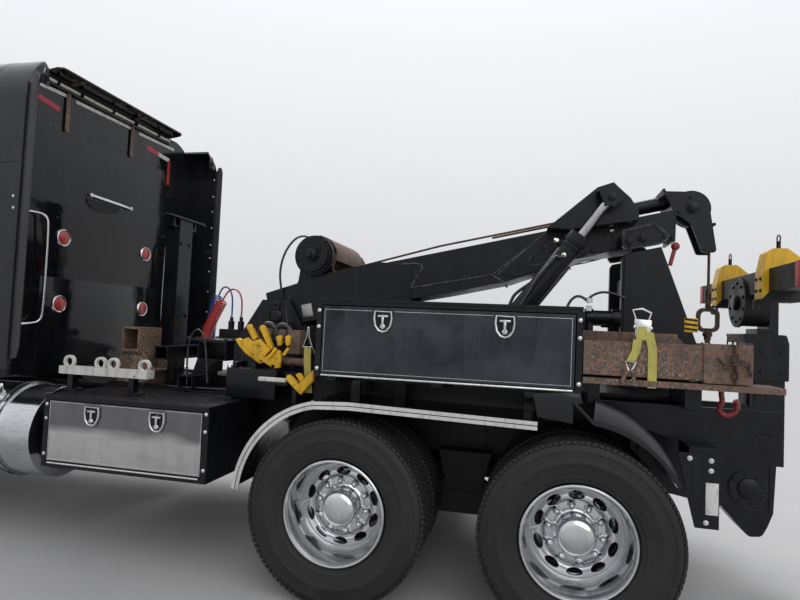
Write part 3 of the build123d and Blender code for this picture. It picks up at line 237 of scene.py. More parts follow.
GROUPS = {make.__name__[:-6]: make() for make in
          (edge_group, dust_group, chip_group, streak_group, grain_group, ripple_group)}


class Look(Nodes):
    """A material: a ground colour, layers over it, and heights that feed its bump."""

    def __init__(self, colour, rough, metal=0.0, vary=0.25, **sockets):
        self.material = bpy.data.materials.new("finish")
        self.material.use_nodes = True
        super().__init__(self.material.node_tree)
        self.shader = self.tree.nodes["Principled BSDF"]
        self.place = self.object_place()
        patch = self.ramp(self.noise(self.place, 4.0, 7.0, 0.62), 0.3, 0.7)
        dark = tuple(c * (1 - vary) for c in colour)
        light = tuple(c * (1 + vary) for c in colour)
        self.colour = self.mix(patch, (*dark, 1), (*light, 1))
        self.rough = self.blend(patch, rough * 0.85, rough * 1.2)
        self.metal = metal
        self.normal = None
        for label, value in sockets.items():
            self.shader.inputs[label.replace("_", " ")].default_value = value

    def group(self, name, inputs):
        return self.add("Group", inputs, node_tree=GROUPS[name]).outputs

    def layer(self, mask, colour, rough=None, metal=None):
        self.colour = self.mix(mask, self.colour, (*colour, 1))
        if rough is not None:
            self.rough = self.blend(mask, self.rough, rough)
        if metal is not None and metal != self.metal:
            self.metal = self.blend(mask, self.metal, metal)

    def soften(self, radius=0.004, breakup=25.0):
        """Rounds the edges in the shading and returns their mask."""
        made = self.group("edge", {"Radius": radius, "Breakup": breakup})
        self.normal = made["Normal"]
        return made["Mask"]

    def bump(self, height, depth):
        node = self.add("Bump", {"Height": height, "Distance": depth, "Strength": 1.0})
        if self.normal is not None:
            self.feed(node.inputs["Normal"], self.normal)
        self.normal = node.outputs[0]

    def grain(self, scale, depth):
        self.bump(self.group("grain", {"Scale": scale})[0], depth)

    def ripple(self, scale, depth):
        self.bump(self.group("ripple", {"Scale": scale})[0], depth)

    def dust(self, amount, rise=1.2, colour=(0.2, 0.18, 0.155)):
        self.layer(self.group("dust", {"Amount": amount, "Rise": rise})[0], colour, 0.85, 0.0)

    def streaks(self, across, down, colour, rough):
        self.layer(self.group("streak", {"Across": across, "Down": down})[0], colour, rough)

    def chips(self, scale, cut, colour, rough, edge=0.0, metal=None):
        """Chips, more of them on the edges where a mask of those is given; returns the chips' own mask."""
        mask = self.group("chip", {"Scale": scale, "Cut": cut, "Edge": edge})[0]
        self.layer(mask, colour, rough, metal)
        return mask

    def done(self, name):
        self.material.name = name
        self.feed(self.shader.inputs["Base Color"], self.colour)
        self.feed(self.shader.inputs["Roughness"], self.rough)
        self.feed(self.shader.inputs["Metallic"], self.metal)
        if self.normal is not None:
            self.feed(self.shader.inputs["Normal"], self.normal)
        return self.material


# Materials, one function for each slot of the record, and a few for small pieces

def black_paint():
    look = Look((0.008, 0.0085, 0.010), 0.10, Specular_IOR_Level=0.28, Coat_Weight=0.2,
                Coat_Roughness=0.04)
    look.soften(0.006)
    look.ripple(1.7, 0.016)
    look.streaks(9.0, 1.1, (0.013, 0.0135, 0.015), 0.2)
    look.dust(0.16, 1.6, (0.06, 0.058, 0.055))
    return look


def chassis_black():
    look = Look((0.008, 0.008, 0.009), 0.45, Specular_IOR_Level=0.25)
    edge = look.soften(0.004)
    look.layer(look.math("MULTIPLY", edge, 0.4), (0.05, 0.04, 0.034), 0.8)
    look.grain(250.0, 0.0006)
    look.dust(0.4, 1.2, (0.065, 0.06, 0.054))
    return look


def wrecker_black():
    look = Look((0.006, 0.0065, 0.009), 0.28, vary=0.3, Specular_IOR_Level=0.26)
    edge = look.soften(0.004, 40.0)
    look.layer(look.math("MULTIPLY", edge, 0.5), (0.07, 0.07, 0.075), 0.5)
    look.streaks(22.0, 2.2, (0.011, 0.012, 0.015), 0.4)
    look.chips(34.0, 0.76, (0.06, 0.045, 0.037), 0.75, edge)
    look.grain(220.0, 0.0003)
    look.ripple(3.0, 0.004)
    look.dust(0.18, 1.2, (0.07, 0.066, 0.06))
    return look


def mirror_steel():
    # Painted reflection: the very dark base colour stands in for the dark surroundings that the polished
    # steel mirrors.
    look = Look((0.050, 0.053, 0.062), 0.06, 1.0, 0.45)
    look.soften(0.003)
    look.ripple(1.6, 0.02)
    look.streaks(12.0, 1.2, (0.07, 0.072, 0.08), 0.11)
    look.dust(0.1, 1.4, (0.12, 0.115, 0.11))
    return look


def polished_door():
    """The lower toolbox doors: bright polished stainless, with a painted reflection: pale below and dark
    above a wavy line.
    """
    look = Look((0.16, 0.16, 0.165), 0.08, 1.0, 0.12)
    look.soften(0.003)
    look.ripple(1.9, 0.02)
    # Painted reflection: the pale colour low on the door, under a wavy line, stands in for what the polished
    # steel mirrors there.
    height = look.height_above_ground(look.place)
    wave = look.noise(look.stretch(look.place, (2.2, 2.2, 5.0)), 1.0, 3.0)
    reflection_line = look.math("SUBTRACT", height, look.math("MULTIPLY", wave, 0.16))
    look.layer(look.ramp(reflection_line, 0.80, 0.74), (0.50, 0.49, 0.48), 0.12)
    run = look.math("MULTIPLY", look.group("streak", {"Across": 11.0, "Down": 1.2})[0], 0.3)
    look.layer(run, (0.26, 0.26, 0.26), 0.16)
    look.dust(0.12, 1.0, (0.2, 0.19, 0.17))
    return look


def chrome():
    look = Look((0.64, 0.645, 0.66), 0.05, 1.0, 0.06)
    look.soften(0.003)
    look.streaks(18.0, 5.0, (0.5, 0.5, 0.5), 0.1)
    look.dust(0.14, 0.8, (0.2, 0.18, 0.16))
    return look


def polished_aluminium():
    look = Look((0.58, 0.585, 0.60), 0.1, 1.0, 0.1)
    look.soften(0.004)
    turned = look.noise(look.stretch(look.place, (3.0, 60.0, 3.0)), 6.0, 3.0)
    look.layer(look.ramp(turned, 0.5, 0.75), (0.46, 0.46, 0.46), 0.2)
    look.dust(0.22, 0.8, (0.2, 0.18, 0.16))
    return look


def cylinder_chrome():
    look = Look((0.42, 0.42, 0.43), 0.14, 1.0, 0.08)
    look.soften(0.003)
    look.streaks(60.0, 12.0, (0.30, 0.28, 0.25), 0.3)
    return look


def tyre_rubber():
    look = Look((0.013, 0.0128, 0.0125), 0.55, Specular_IOR_Level=0.35)
    look.soften(0.002, 60.0)
    look.streaks(16.0, 9.0, (0.026, 0.025, 0.024), 0.75)
    look.grain(500.0, 0.0005)
    look.dust(0.34, 1.5, (0.07, 0.065, 0.06))
    return look


def glass():
    look = Look((0.05, 0.06, 0.065), 0.03, Transmission_Weight=0.85, IOR=1.5)
    look.ripple(1.2, 0.001)
    return look


def cab_trim():
    look = Look((0.055, 0.055, 0.06), 0.62)
    look.soften(0.012)
    look.bump(look.cells(look.place, 420.0), 0.0008)
    return look


def fender_plastic():
    look = Look((0.012, 0.012, 0.013), 0.38, Specular_IOR_Level=0.35)
    look.soften(0.004)
    look.grain(350.0, 0.0005)
    look.streaks(10.0, 5.0, (0.03, 0.03, 0.031), 0.55)
    look.dust(0.25, 1.3, (0.08, 0.075, 0.07))
    return look


def rusty_steel():
    """Brown rust under worn red-brown paint, with pale flecks and small bright spots of fresh rust."""
    look = Look((0.165, 0.098, 0.072), 0.72, vary=0.4)
    edge = look.soften(0.004)
    worn = look.chips(34.0, 0.50, (0.074, 0.058, 0.048), 0.6, edge)
    look.streaks(26.0, 3.0, (0.165, 0.128, 0.098), 0.7)
    look.chips(62.0, 0.57, (0.27, 0.13, 0.075), 0.8, edge)
    look.chips(85.0, 0.635, (0.34, 0.38, 0.34), 0.7)
    look.bump(look.noise(look.place, 90.0, 6.0, 0.7), 0.0016)
    look.bump(worn, 0.0005)
    return look


def white_paint():
    look = Look((0.66, 0.65, 0.62), 0.42, vary=0.08)
    edge = look.soften(0.004, 60.0)
    chips = look.chips(36.0, 0.655, (0.12, 0.065, 0.04), 0.85, edge)
    look.streaks(25.0, 4.0, (0.42, 0.38, 0.33), 0.6)
    look.bump(chips, -0.0008)
    return look


def yellow_paint():
    look = Look((0.80, 0.47, 0.015), 0.38, vary=0.12)
    edge = look.soften(0.004, 50.0)
    look.streaks(30.0, 8.0, (0.48, 0.26, 0.02), 0.55)
    chips = look.chips(42.0, 0.66, (0.05, 0.035, 0.025), 0.8, edge)
    look.bump(chips, -0.0008)
    look.grain(160.0, 0.0006)
    return look


def crossbar_paint():
    """The crossbar: black paint worn and chipped to brown, with traces of yellow."""
    look = Look((0.012, 0.011, 0.011), 0.45, vary=0.3, Specular_IOR_Level=0.3)
    edge = look.soften(0.005, 40.0)
    look.streaks(24.0, 6.0, (0.03, 0.024, 0.02), 0.7)
    chips = look.chips(30.0, 0.70, (0.16, 0.10, 0.02), 0.7, edge)
    look.bump(chips, -0.0008)
    return look


def cast_iron():
    look = Look((0.05, 0.048, 0.045), 0.65, 0.6)
    look.soften(0.006)
    look.grain(120.0, 0.002)
    look.dust(0.8, 1.5)
    return look


def hook_steel():
    look = Look((0.05, 0.042, 0.038), 0.5, 0.7)
    edge = look.soften(0.004)
    look.chips(38.0, 0.54, (0.17, 0.075, 0.035), 0.85, edge, 0.0)
    look.bump(look.noise(look.place, 140.0, 4.0, 0.7), 0.001)
    return look


def hose(colour):
    look = Look(colour, 0.3, vary=0.12, Coat_Weight=0.3, Coat_Roughness=0.2)
    look.streaks(60.0, 30.0, tuple(c * 0.6 + 0.05 for c in colour), 0.5)
    look.grain(300.0, 0.0003)
    return look


def red_hose():
    return hose((0.55, 0.035, 0.03))


def blue_hose():
    return hose((0.02, 0.06, 0.36))


def black_rubber():
    return hose((0.009, 0.009, 0.010))


def red_lens():
    look = Look((0.50, 0.012, 0.02), 0.15, vary=0.1, Coat_Weight=0.8, Coat_Roughness=0.05)
    look.bump(look.cells(look.place, 190.0), 0.0025)
    return look


def amber_lens():
    look = Look((0.75, 0.20, 0.01), 0.15, vary=0.1, Coat_Weight=0.8, Coat_Roughness=0.05)
    look.bump(look.cells(look.place, 190.0), 0.002)
    return look


def clear_lens():
    look = Look((0.75, 0.76, 0.78), 0.08, 0.55, 0.08, Coat_Weight=1.0, Coat_Roughness=0.03)
    look.bump(look.noise(look.stretch(look.place, (20.0, 260.0, 20.0)), 1.0, 1.0), 0.002)
    return look


def red_tape():
    look = Look((0.42, 0.02, 0.03), 0.35, vary=0.15)
    look.chips(40.0, 0.68, (0.05, 0.04, 0.04), 0.6)
    look.bump(look.cells(look.place, 260.0), 0.0004)
    return look


def white_tape():
    look = Look((0.68, 0.68, 0.66), 0.3, vary=0.08)
    look.streaks(40.0, 20.0, (0.4, 0.38, 0.34), 0.5)
    look.bump(look.cells(look.place, 260.0), 0.0004)
    return look


def lamp_tube():
    look = Look((0.72, 0.69, 0.58), 0.3, vary=0.1)
    look.streaks(30.0, 20.0, (0.42, 0.36, 0.27), 0.5)
    look.grain(200.0, 0.0004)
    return look


def webbing():
    """Yellow ratchet strap, woven and faded, with a darker line along it."""
    look = Look((0.62, 0.56, 0.13), 0.85, vary=0.2, Sheen_Weight=0.3)
    weave = look.cells(look.place, 620.0)
    look.streaks(50.0, 12.0, (0.42, 0.38, 0.14), 0.9)
    look.layer(look.ramp(weave, 0.45, 0.8), (0.36, 0.31, 0.07), 0.9)
    look.bump(weave, -0.0012)
    return look


def red_paint():
    look = Look((0.30, 0.016, 0.016), 0.35, vary=0.25, Coat_Weight=0.2, Coat_Roughness=0.2)
    edge = look.soften(0.003)
    look.chips(45.0, 0.56, (0.06, 0.025, 0.02), 0.8, edge)
    return look


def trim_steel():
    """Bright stainless trim, wiped and scratched."""
    look = Look((0.70, 0.70, 0.70), 0.2, 0.9, 0.1)
    look.streaks(30.0, 8.0, (0.45, 0.44, 0.42), 0.4)
    look.dust(0.4, 1.1, (0.3, 0.27, 0.23))
    return look


def wire_rope():
    look = Look((0.16, 0.09, 0.055), 0.6, 0.5, 0.3)
    strands = look.noise(look.stretch(look.place, (40.0, 260.0, 260.0)), 1.0, 3.0)
    look.layer(look.ramp(strands, 0.45, 0.6), (0.05, 0.04, 0.035), 0.7)
    look.bump(strands, 0.002)
    return look


def plate_metal():
    """Blank data plates."""
    look = Look((0.34, 0.34, 0.33), 0.35, 0.7, 0.15)
    look.chips(60.0, 0.6, (0.08, 0.07, 0.06), 0.7)
    return look


def seat_cloth():
    """Grey woven seat cloth."""
    look = Look((0.16, 0.16, 0.17), 0.9, vary=0.15, Sheen_Weight=0.4)
    weave = look.cells(look.place, 700.0)
    look.layer(look.ramp(weave, 0.4, 0.8), (0.07, 0.07, 0.08), 0.9)
    look.bump(weave, -0.001)
    return look


def grey_rubber():
    look = Look((0.035, 0.035, 0.037), 0.42, vary=0.2, Specular_IOR_Level=0.4)
    look.streaks(25.0, 1.5, (0.06, 0.06, 0.06), 0.55)
    look.grain(300.0, 0.0005)
    return look


def scuffed_edge():
    """Paint worn pale along welds and folds, and lighter again as a painted highlight along those edges."""
    look = Look((0.10, 0.10, 0.108), 0.5, vary=0.3)
    look.chips(30.0, 0.5, (0.02, 0.02, 0.022), 0.4)
    return look


MAKERS = (
        black_paint, chassis_black, wrecker_black, mirror_steel, polished_door, chrome, polished_aluminium,
        cylinder_chrome, tyre_rubber, glass, cab_trim, fender_plastic, rusty_steel, white_paint,
        yellow_paint, crossbar_paint, cast_iron, hook_steel, red_hose, blue_hose, black_rubber, red_lens,
        amber_lens, clear_lens, red_tape, white_tape, lamp_tube, webbing, red_paint, trim_steel, wire_rope,
        plate_metal, seat_cloth, grey_rubber, scuffed_edge)
FINISHES = {make.__name__: make().done(make.__name__) for make in MAKERS}
OWN_FINISH = {"crossbar": "crossbar_paint", "lower_box_door_left": "polished_door",
              "lower_box_door_right": "polished_door"}


def paint_nodes():
    """Gives every CAD node the finish of its slot in the record."""
    for part in frame["record"]["subparts"]:
        name = part["node"]
        mesh = nodes[name].data
        mesh.materials.clear()
        mesh.materials.append(FINISHES[OWN_FINISH.get(name, part["material_slot"])])


def repaint(node, finish, chosen):
    """Gives another finish to the faces of a CAD node whose middle passes a test."""
    mesh = nodes[node].data
    mesh.materials.append(FINISHES[finish])
    last = len(mesh.materials) - 1
    for face in mesh.polygons:
        if chosen(face.center):
            face.material_index = last


# Mesh building

class Work:
    """A mesh under construction, in metres in the row frame."""

    def __init__(self):
        self.bm = bmesh.new()

    def box(self, centre, axes, size, edge):
        place = Matrix.Translation(centre) @ axes @ Matrix.Diagonal((*size, 1.0))
        self.round(bmesh.ops.create_cube(self.bm, size=1.0, matrix=place)["verts"], edge)
        return self

    def slab(self, low, high, edge=0.0):
        """A box between two corners, with bevelled edges."""
        low, high = Vector(low), Vector(high)
        return self.box((low + high) / 2, Matrix(), [abs(d) for d in high - low], edge)

    def bar(self, start, end, width, height, edge=0.0, up=Z):
        """A rectangular bar from one point to another, its height along up."""
        along = (end - start).normalized()
        across = along.cross(up).normalized()
        axes = Matrix((along, across, across.cross(along))).transposed().to_4x4()
        return self.box((start + end) / 2, axes, ((end - start).length, width, height), edge)

    def round(self, verts, edge):
        if edge > 0:
            edges = {e for v in verts for e in v.link_edges}
            bmesh.ops.bevel(self.bm, geom=list(edges), offset=edge, segments=2, affect="EDGES", profile=0.5)

    def rings(self, rings, caps=True):
        """Joins rings of points into a skin; a ring of one point is a pole."""
        rows = [[self.bm.verts.new(p) for p in ring] for ring in rings]
        for a, b in zip(rows, rows[1:]):
            count = max(len(a), len(b))
            for k in range(count):
                quad = [a[k % len(a)], a[(k + 1) % len(a)], b[(k + 1) % len(b)], b[k % len(b)]]
                face = list(dict.fromkeys(quad))
                if len(face) > 2:
                    self.bm.faces.new(face)
        for row in (rows[0], rows[-1]):
            if caps and len(row) > 2:
                self.bm.faces.new(row)
        return self

    def turned(self, section, base, axis, steps=32, closed=False):
        """A lathe form: section is (radius, height) along the axis from the base, and may close on itself."""
        axis = axis.normalized()
        u = axis.orthogonal().normalized()
        v = axis.cross(u)
        rings = []
        for radius, height in section:
            centre = base + axis * height
            rings.append(hoop(centre, u, v, radius, steps) if radius else [centre])
        return self.skin(rings, closed)

    def skin(self, rings, closed):
        """Rings joined with end caps, or, when closed, the last one to the first."""
        if not closed:
            return self.rings(rings)
        self.rings(rings + rings[:1], caps=False)
        bmesh.ops.remove_doubles(self.bm, verts=self.bm.verts, dist=1e-6)
        return self

    def tube(self, points, radius, sides=10, closed=False):
        """A round tube along points, with its section carried along without twist."""
        points = [Vector(p) for p in points]
        count = len(points)
        last = count if closed else count - 1
        ahead = [(points[(k + 1) % count] - points[k]).normalized() for k in range(last)]
        if closed:
            way = [(ahead[k - 1] + ahead[k]).normalized() for k in range(count)]
        else:
            way = [ahead[0]] + [(a + b).normalized() for a, b in zip(ahead, ahead[1:])] + [ahead[-1]]
        side = way[0].orthogonal().normalized()
        rings = []
        for point, tangent in zip(points, way):
            side = (side - tangent * side.dot(tangent)).normalized()
            rings.append(hoop(point, side, tangent.cross(side), radius, sides))
        return self.skin(rings, closed)

    def cap(self, radius, wall, top, height, base, axis, steps):
        """A round cap: a wall, then a chamfer up to a flat top of a smaller radius."""
        return self.turned([(radius, 0), (radius, wall), (top, height), (0, height)], base, axis, steps)

    def ball(self, centre, radius):
        bmesh.ops.create_uvsphere(self.bm, u_segments=20, v_segments=12, radius=radius,
                                  matrix=Matrix.Translation(centre))

    def plate(self, points, thickness, edge=0.0):
        """A flat outline of points, given a thickness vector."""
        base = [self.bm.verts.new(p) for p in points]
        top = [self.bm.verts.new(Vector(p) + thickness) for p in points]
        self.bm.faces.new(base)
        self.bm.faces.new(top)
        count = len(base)
        for k in range(count):
            self.bm.faces.new([base[k], base[(k + 1) % count], top[(k + 1) % count], top[k]])
        self.round(base + top, edge)
        return self

    def ribbon(self, points, width, thickness):
        """A flat strap along points: width is a vector across it, thickness goes to both sides of it."""
        points = [Vector(p) for p in points]
        rings = []
        for k, point in enumerate(points):
            along = (points[min(k + 1, len(points) - 1)] - points[max(k - 1, 0)]).normalized()
            out = along.cross(width).normalized() * thickness / 2
            half = width / 2
            rings.append([point - half - out, point + half - out, point + half + out, point - half + out])
        return self.rings(rings)

    def mesh(self, name):
        bmesh.ops.recalc_face_normals(self.bm, faces=self.bm.faces)
        mesh = bpy.data.meshes.new(name)
        self.bm.to_mesh(mesh)
        self.bm.free()
        return mesh

    def done(self, name, finish, body="truck"):
        return mount(self.mesh(name), name, finish, body)


def mount(mesh, name, finish, body):
    """Turns a mesh into a piece that rides on a body and takes a finish."""
    mesh.materials.clear()
    mesh.materials.append(FINISHES[finish])
    mesh.polygons.foreach_set("use_smooth", [True] * len(mesh.polygons))
    mesh.polygons.foreach_set("material_index", [0] * len(mesh.polygons))
    mesh.set_sharp_from_angle(angle=radians(38))
    piece = bpy.data.objects.new(name, mesh)
    bpy.context.scene.collection.objects.link(piece)
    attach(piece, body)
    return piece


SLOT_OF = {name: name for name in (m["slot"] for m in frame["record"]["materials"])}
SLOT_OF.update(polished_door="mirror_steel", crossbar_paint="yellow_paint", black_rubber="tyre_rubber",
               red_lens="red_hose", amber_lens="yellow_paint", clear_lens="glass", red_tape="red_hose",
               white_tape="white_paint", lamp_tube="white_paint", webbing="yellow_paint",
               red_paint="red_hose", trim_steel="chrome", seat_cloth="cab_trim", wire_rope="hook_steel",
               plate_metal="polished_aluminium", grey_rubber="tyre_rubber", scuffed_edge="wrecker_black")


# Repeating things with geometry nodes

class Geo(Nodes):
    """A geometry node tree under construction."""

    family = ""

    def __init__(self, name, inputs):
        super().__init__(bpy.data.node_groups.new(name, "GeometryNodeTree"))
        face = self.tree.interface
        self.ids = {}
        for label, kind in {"Geometry": "Geometry", **inputs}.items():
            socket = face.new_socket(label, in_out="INPUT", socket_type="NodeSocket" + kind)
            self.ids[label] = socket.identifier
        face.new_socket("Geometry", in_out="OUTPUT", socket_type="NodeSocketGeometry")
        self.given = self.tree.nodes.new("NodeGroupInput").outputs
        self.out = self.tree.nodes.new("NodeGroupOutput").inputs

    def finish(self, geometry):
        """Ends the tree: instances are made real and take the finish."""
        real = self.add("GeometryNodeRealizeInstances", {0: geometry}).outputs[0]
        painted = self.add("GeometryNodeSetMaterial", {"Geometry": real, "Material": self.given["Finish"]})
        self.feed(self.out[0], painted.outputs[0])
        return self


def scatter_tree():
    """Copies of a unit at points that carry a facing, a size and a turn."""
    geo = Geo("unit_at_spots", {"Unit": "Object", "Finish": "Material"})
    unit = geo.add("GeometryNodeObjectInfo", {"Object": geo.given["Unit"]}).outputs["Geometry"]

    def carried(name, kind):
        return geo.add("GeometryNodeInputNamedAttribute", {"Name": name}, data_type=kind).outputs[0]

    aimed = geo.add("FunctionNodeAlignRotationToVector", {"Vector": carried("facing", "FLOAT_VECTOR")},
                    axis="Z")
    spin = geo.add("FunctionNodeAxisAngleToRotation", {"Axis": (0, 0, 1), "Angle": carried("turn", "FLOAT")})
    turned = geo.add("FunctionNodeRotateRotation", {"Rotation": aimed.outputs[0],
                                                    "Rotate By": spin.outputs[0]}, rotation_space="LOCAL")
    placed = geo.add("GeometryNodeInstanceOnPoints",
                     {"Points": geo.given["Geometry"], "Instance": unit, "Rotation": turned.outputs[0],
                      "Scale": carried("size", "FLOAT")})
    return geo.finish(placed.outputs[0])


def links_tree():
    """Copies of a unit along a curve, each second one turned by a quarter."""
    geo = Geo("links_on_curve", {"Unit": "Object", "Spacing": "Float", "Quarter": "Float",
                                 "Finish": "Material"})
    unit = geo.add("GeometryNodeObjectInfo", {"Object": geo.given["Unit"]}).outputs["Geometry"]
    points = geo.add("GeometryNodeCurveToPoints", {"Curve": geo.given["Geometry"],
                                                   "Length": geo.given["Spacing"]}, mode="LENGTH")
    index = geo.add("GeometryNodeInputIndex").outputs[0]
    odd = geo.add("ShaderNodeMath", {0: index, 1: 2.0}, operation="MODULO").outputs[0]
    angle = geo.add("ShaderNodeMath", {0: odd, 1: geo.given["Quarter"]}, operation="MULTIPLY")
    spin = geo.add("FunctionNodeAxisAngleToRotation", {"Axis": (0, 0, 1), "Angle": angle.outputs[0]})
    turned = geo.add("FunctionNodeRotateRotation", {"Rotation": points.outputs["Rotation"],
                                                    "Rotate By": spin.outputs[0]}, rotation_space="LOCAL")
    placed = geo.add("GeometryNodeInstanceOnPoints",
                     {"Points": points.outputs["Points"], "Instance": unit, "Rotation": turned.outputs[0]})
    return geo.finish(placed.outputs[0])


def winding_tree():
    """A rope wound on a drum that lies along Y."""
    geo = Geo("winding", {"Turns": "Float", "Radius": "Float", "Length": "Float", "Rope": "Float",
                          "Middle": "Vector", "Finish": "Material"})
    coil = geo.add("GeometryNodeCurveSpiral",
                   {"Resolution": 20, "Rotations": geo.given["Turns"], "Start Radius": geo.given["Radius"],
                    "End Radius": geo.given["Radius"], "Height": geo.given["Length"]})
    section = geo.add("GeometryNodeCurvePrimitiveCircle", {"Resolution": 6, "Radius": geo.given["Rope"]})
    rope = geo.add("GeometryNodeCurveToMesh", {"Curve": coil.outputs[0], "Profile Curve": section.outputs[0],
                                               "Fill Caps": True})
    laid = geo.add("GeometryNodeTransform", {"Geometry": rope.outputs[0], "Rotation": (-pi / 2, 0, 0),
                                             "Translation": geo.given["Middle"]})
    return geo.finish(laid.outputs[0])


SCATTER, LINKS, WINDING = scatter_tree(), links_tree(), winding_tree()


def grow(tree, host, name, values, finish, body):
    """Runs a geometry tree on a host object and keeps the result as a plain mesh."""
    modifier = host.modifiers.new(tree.tree.name, "NODES")
    modifier.node_group = tree.tree
    for label, value in {**values, "Finish": FINISHES[finish]}.items():
        modifier[tree.ids[label]] = value
    bpy.context.view_layer.update()
    seen = host.evaluated_get(bpy.context.evaluated_depsgraph_get())
    mesh = bpy.data.meshes.new_from_object(seen)
    host.modifiers.remove(modifier)
    bpy.data.objects.remove(host)
    mesh.name = name
    mount(mesh, name, finish, body)


def helper(name, data):
    """An object that exists only while a tree runs."""
    item = bpy.data.objects.new(name, data)
    bpy.context.scene.collection.objects.link(item)
    return item


def scatter(name, unit, spots, finish, body="truck"):
    """Copies of a unit, made once as a Work, at (point, facing, size, turn)."""
    cloud = bpy.data.meshes.new(name)
    cloud.from_pydata([tuple(s[0]) for s in spots], [], [])
    facing = cloud.attributes.new("facing", "FLOAT_VECTOR", "POINT")
    facing.data.foreach_set("vector", [c for s in spots for c in s[1]])
    cloud.attributes.new("size", "FLOAT", "POINT").data.foreach_set("value", [s[2] for s in spots])
    cloud.attributes.new("turn", "FLOAT", "POINT").data.foreach_set("value", [s[3] for s in spots])
    shape = helper(name + "_unit", unit.mesh(name + "_unit"))
    grow(SCATTER, helper(name + "_spots", cloud), name, {"Unit": shape}, finish, body)
    bpy.data.objects.remove(shape)


def smooth_line(points):
    """The points of a smooth line that is drawn by a few control points."""
    curve = bpy.data.curves.new("line", "CURVE")
    curve.dimensions = "3D"
    curve.resolution_u = 12
    spline = curve.splines.new("NURBS")
    spline.points.add(len(points) - 1)
    for item, point in zip(spline.points, points):
        item.co = (*point, 1.0)
    spline.order_u = 3
    spline.use_endpoint_u = True
    host = helper("line", curve)
    bpy.context.view_layer.update()
    mesh = bpy.data.meshes.new_from_object(host.evaluated_get(bpy.context.evaluated_depsgraph_get()))
    line = [v.co.copy() for v in mesh.vertices]
    bpy.data.objects.remove(host)
    bpy.data.meshes.remove(mesh)
    return line


def spaced(line, step):
    """Points along a line at an even step."""
    result, left = [line[0]], step
    for a, b in zip(line, line[1:]):
        run = (b - a).length
        while left <= run:
            result.append(a.lerp(b, left / run))
            left += step
        left -= run
    return result


# Small units that are used again and again, each standing on z = 0 and facing up

def bolt_unit(radius, height):
    """A hexagon head on a washer."""
    work, washer, foot = Work(), radius * 1.35, height * 0.2
    work.turned([(0, 0), (washer, 0), (washer, foot), (0, foot)], Vector(), Z, 16)
    head = [(0, foot), (radius, foot), (radius, height * 0.85), (radius * 0.82, height), (0, height)]
    return work.turned(head, Vector(), Z, 6)


def dome_unit(radius, height):
    """A round rivet or screw head."""
    section = [(radius, 0), (radius * 0.94, height * 0.5), (radius * 0.6, height * 0.9), (0, height)]
    return Work().turned(section, Vector(), Z, 12)


def link_unit(length, width, wire):
    """A chain link that lies along Z."""
    half, turn = length / 2 - width / 2, width / 2 - wire / 2
    bow = [Vector((turn * cos(t), 0, half + turn * sin(t))) for t in (pi * k / 6 for k in range(7))]
    return Work().tube(bow + [-p for p in bow], wire / 2, 6, closed=True)


def rows(start, end, step):
    """Points from start to end at about a step apart."""
    count = max(1, round((end - start).length / step))
    return [start.lerp(end, k / count) for k in range(count + 1)]


# Camera, floor and light

EYE = Vector((-3.639, 4.334, 1.59))
LOOK = Vector((0.2251, -0.9731, 0.0450))
ROLL = radians(2.54)
LENS, SENSOR = 26.01, 36.0


def set_camera():
    """Puts the camera where the photograph was taken from."""
    data = bpy.data.cameras.new("camera")
    data.lens, data.sensor_width, data.clip_end = LENS, SENSOR, 300.0
    item = helper("camera", data)
    item.location = EYE
    item.rotation_mode = "QUATERNION"
    item.rotation_quaternion = LOOK.to_track_quat("-Z", "Y") @ Quaternion((0, 0, 1), ROLL)
    bpy.context.scene.camera = item


def floor():
    """A wide pale floor."""
    mesh = Work().slab((-60, -60, -0.05), (60, 60, -0.0005)).mesh("floor")
    material = bpy.data.materials.new("pale_floor")
    material.use_nodes = True
    shades = Nodes(material.node_tree)
    place = shades.object_place()
    shader = shades.tree.nodes["Principled BSDF"]
    tone = shades.ramp(shades.noise(place, 1.5, 6.0), 0.3, 0.7)
    shades.feed(shader.inputs["Base Color"], shades.mix(tone, (0.52, 0.52, 0.52, 1), (0.56, 0.555, 0.55, 1)))
    shader.inputs["Roughness"].default_value = 0.8
    mesh.materials.append(material)
    helper("floor", mesh)


def light():
    """A pale graded sky and two soft lamps; the sky is brighter where it is seen or mirrored."""
    world = bpy.data.worlds.new("pale_sky")
    bpy.context.scene.world = world
    world.use_nodes = True
    sky = Nodes(world.node_tree)
    out = sky.tree.nodes["Background"]
    up = sky.add("SeparateXYZ", {0: sky.add("TexCoord").outputs["Generated"]}).outputs[2]
    shade = sky.mix(sky.ramp(up, -0.05, 0.5), (0.62, 0.63, 0.64, 1), (0.95, 0.96, 1.0, 1))
    sky.feed(out.inputs[0], shade)
    path = sky.add("LightPath").outputs
    seen = sky.math("ADD", path["Is Camera Ray"], path["Is Glossy Ray"])
    seen = sky.math("ADD", seen, path["Is Transmission Ray"], clamp=True)
    sky.feed(out.inputs[1], sky.blend(seen, 0.62, 1.0))
    lamps = (("key", (-0.35, 0.75, -1.0), 1.5, 40), ("fill", (0.5, -0.85, -0.7), 0.7, 60))
    for name, aim, power, spread in lamps:
        lamp = bpy.data.lights.new(name, "SUN")
        lamp.energy, lamp.angle = power, radians(spread)
        item = helper(name, lamp)
        item.rotation_mode = "QUATERNION"
        item.rotation_quaternion = Vector(aim).to_track_quat("-Z", "Y")


# Air lines: each rises as a coil and arches over to its coupling

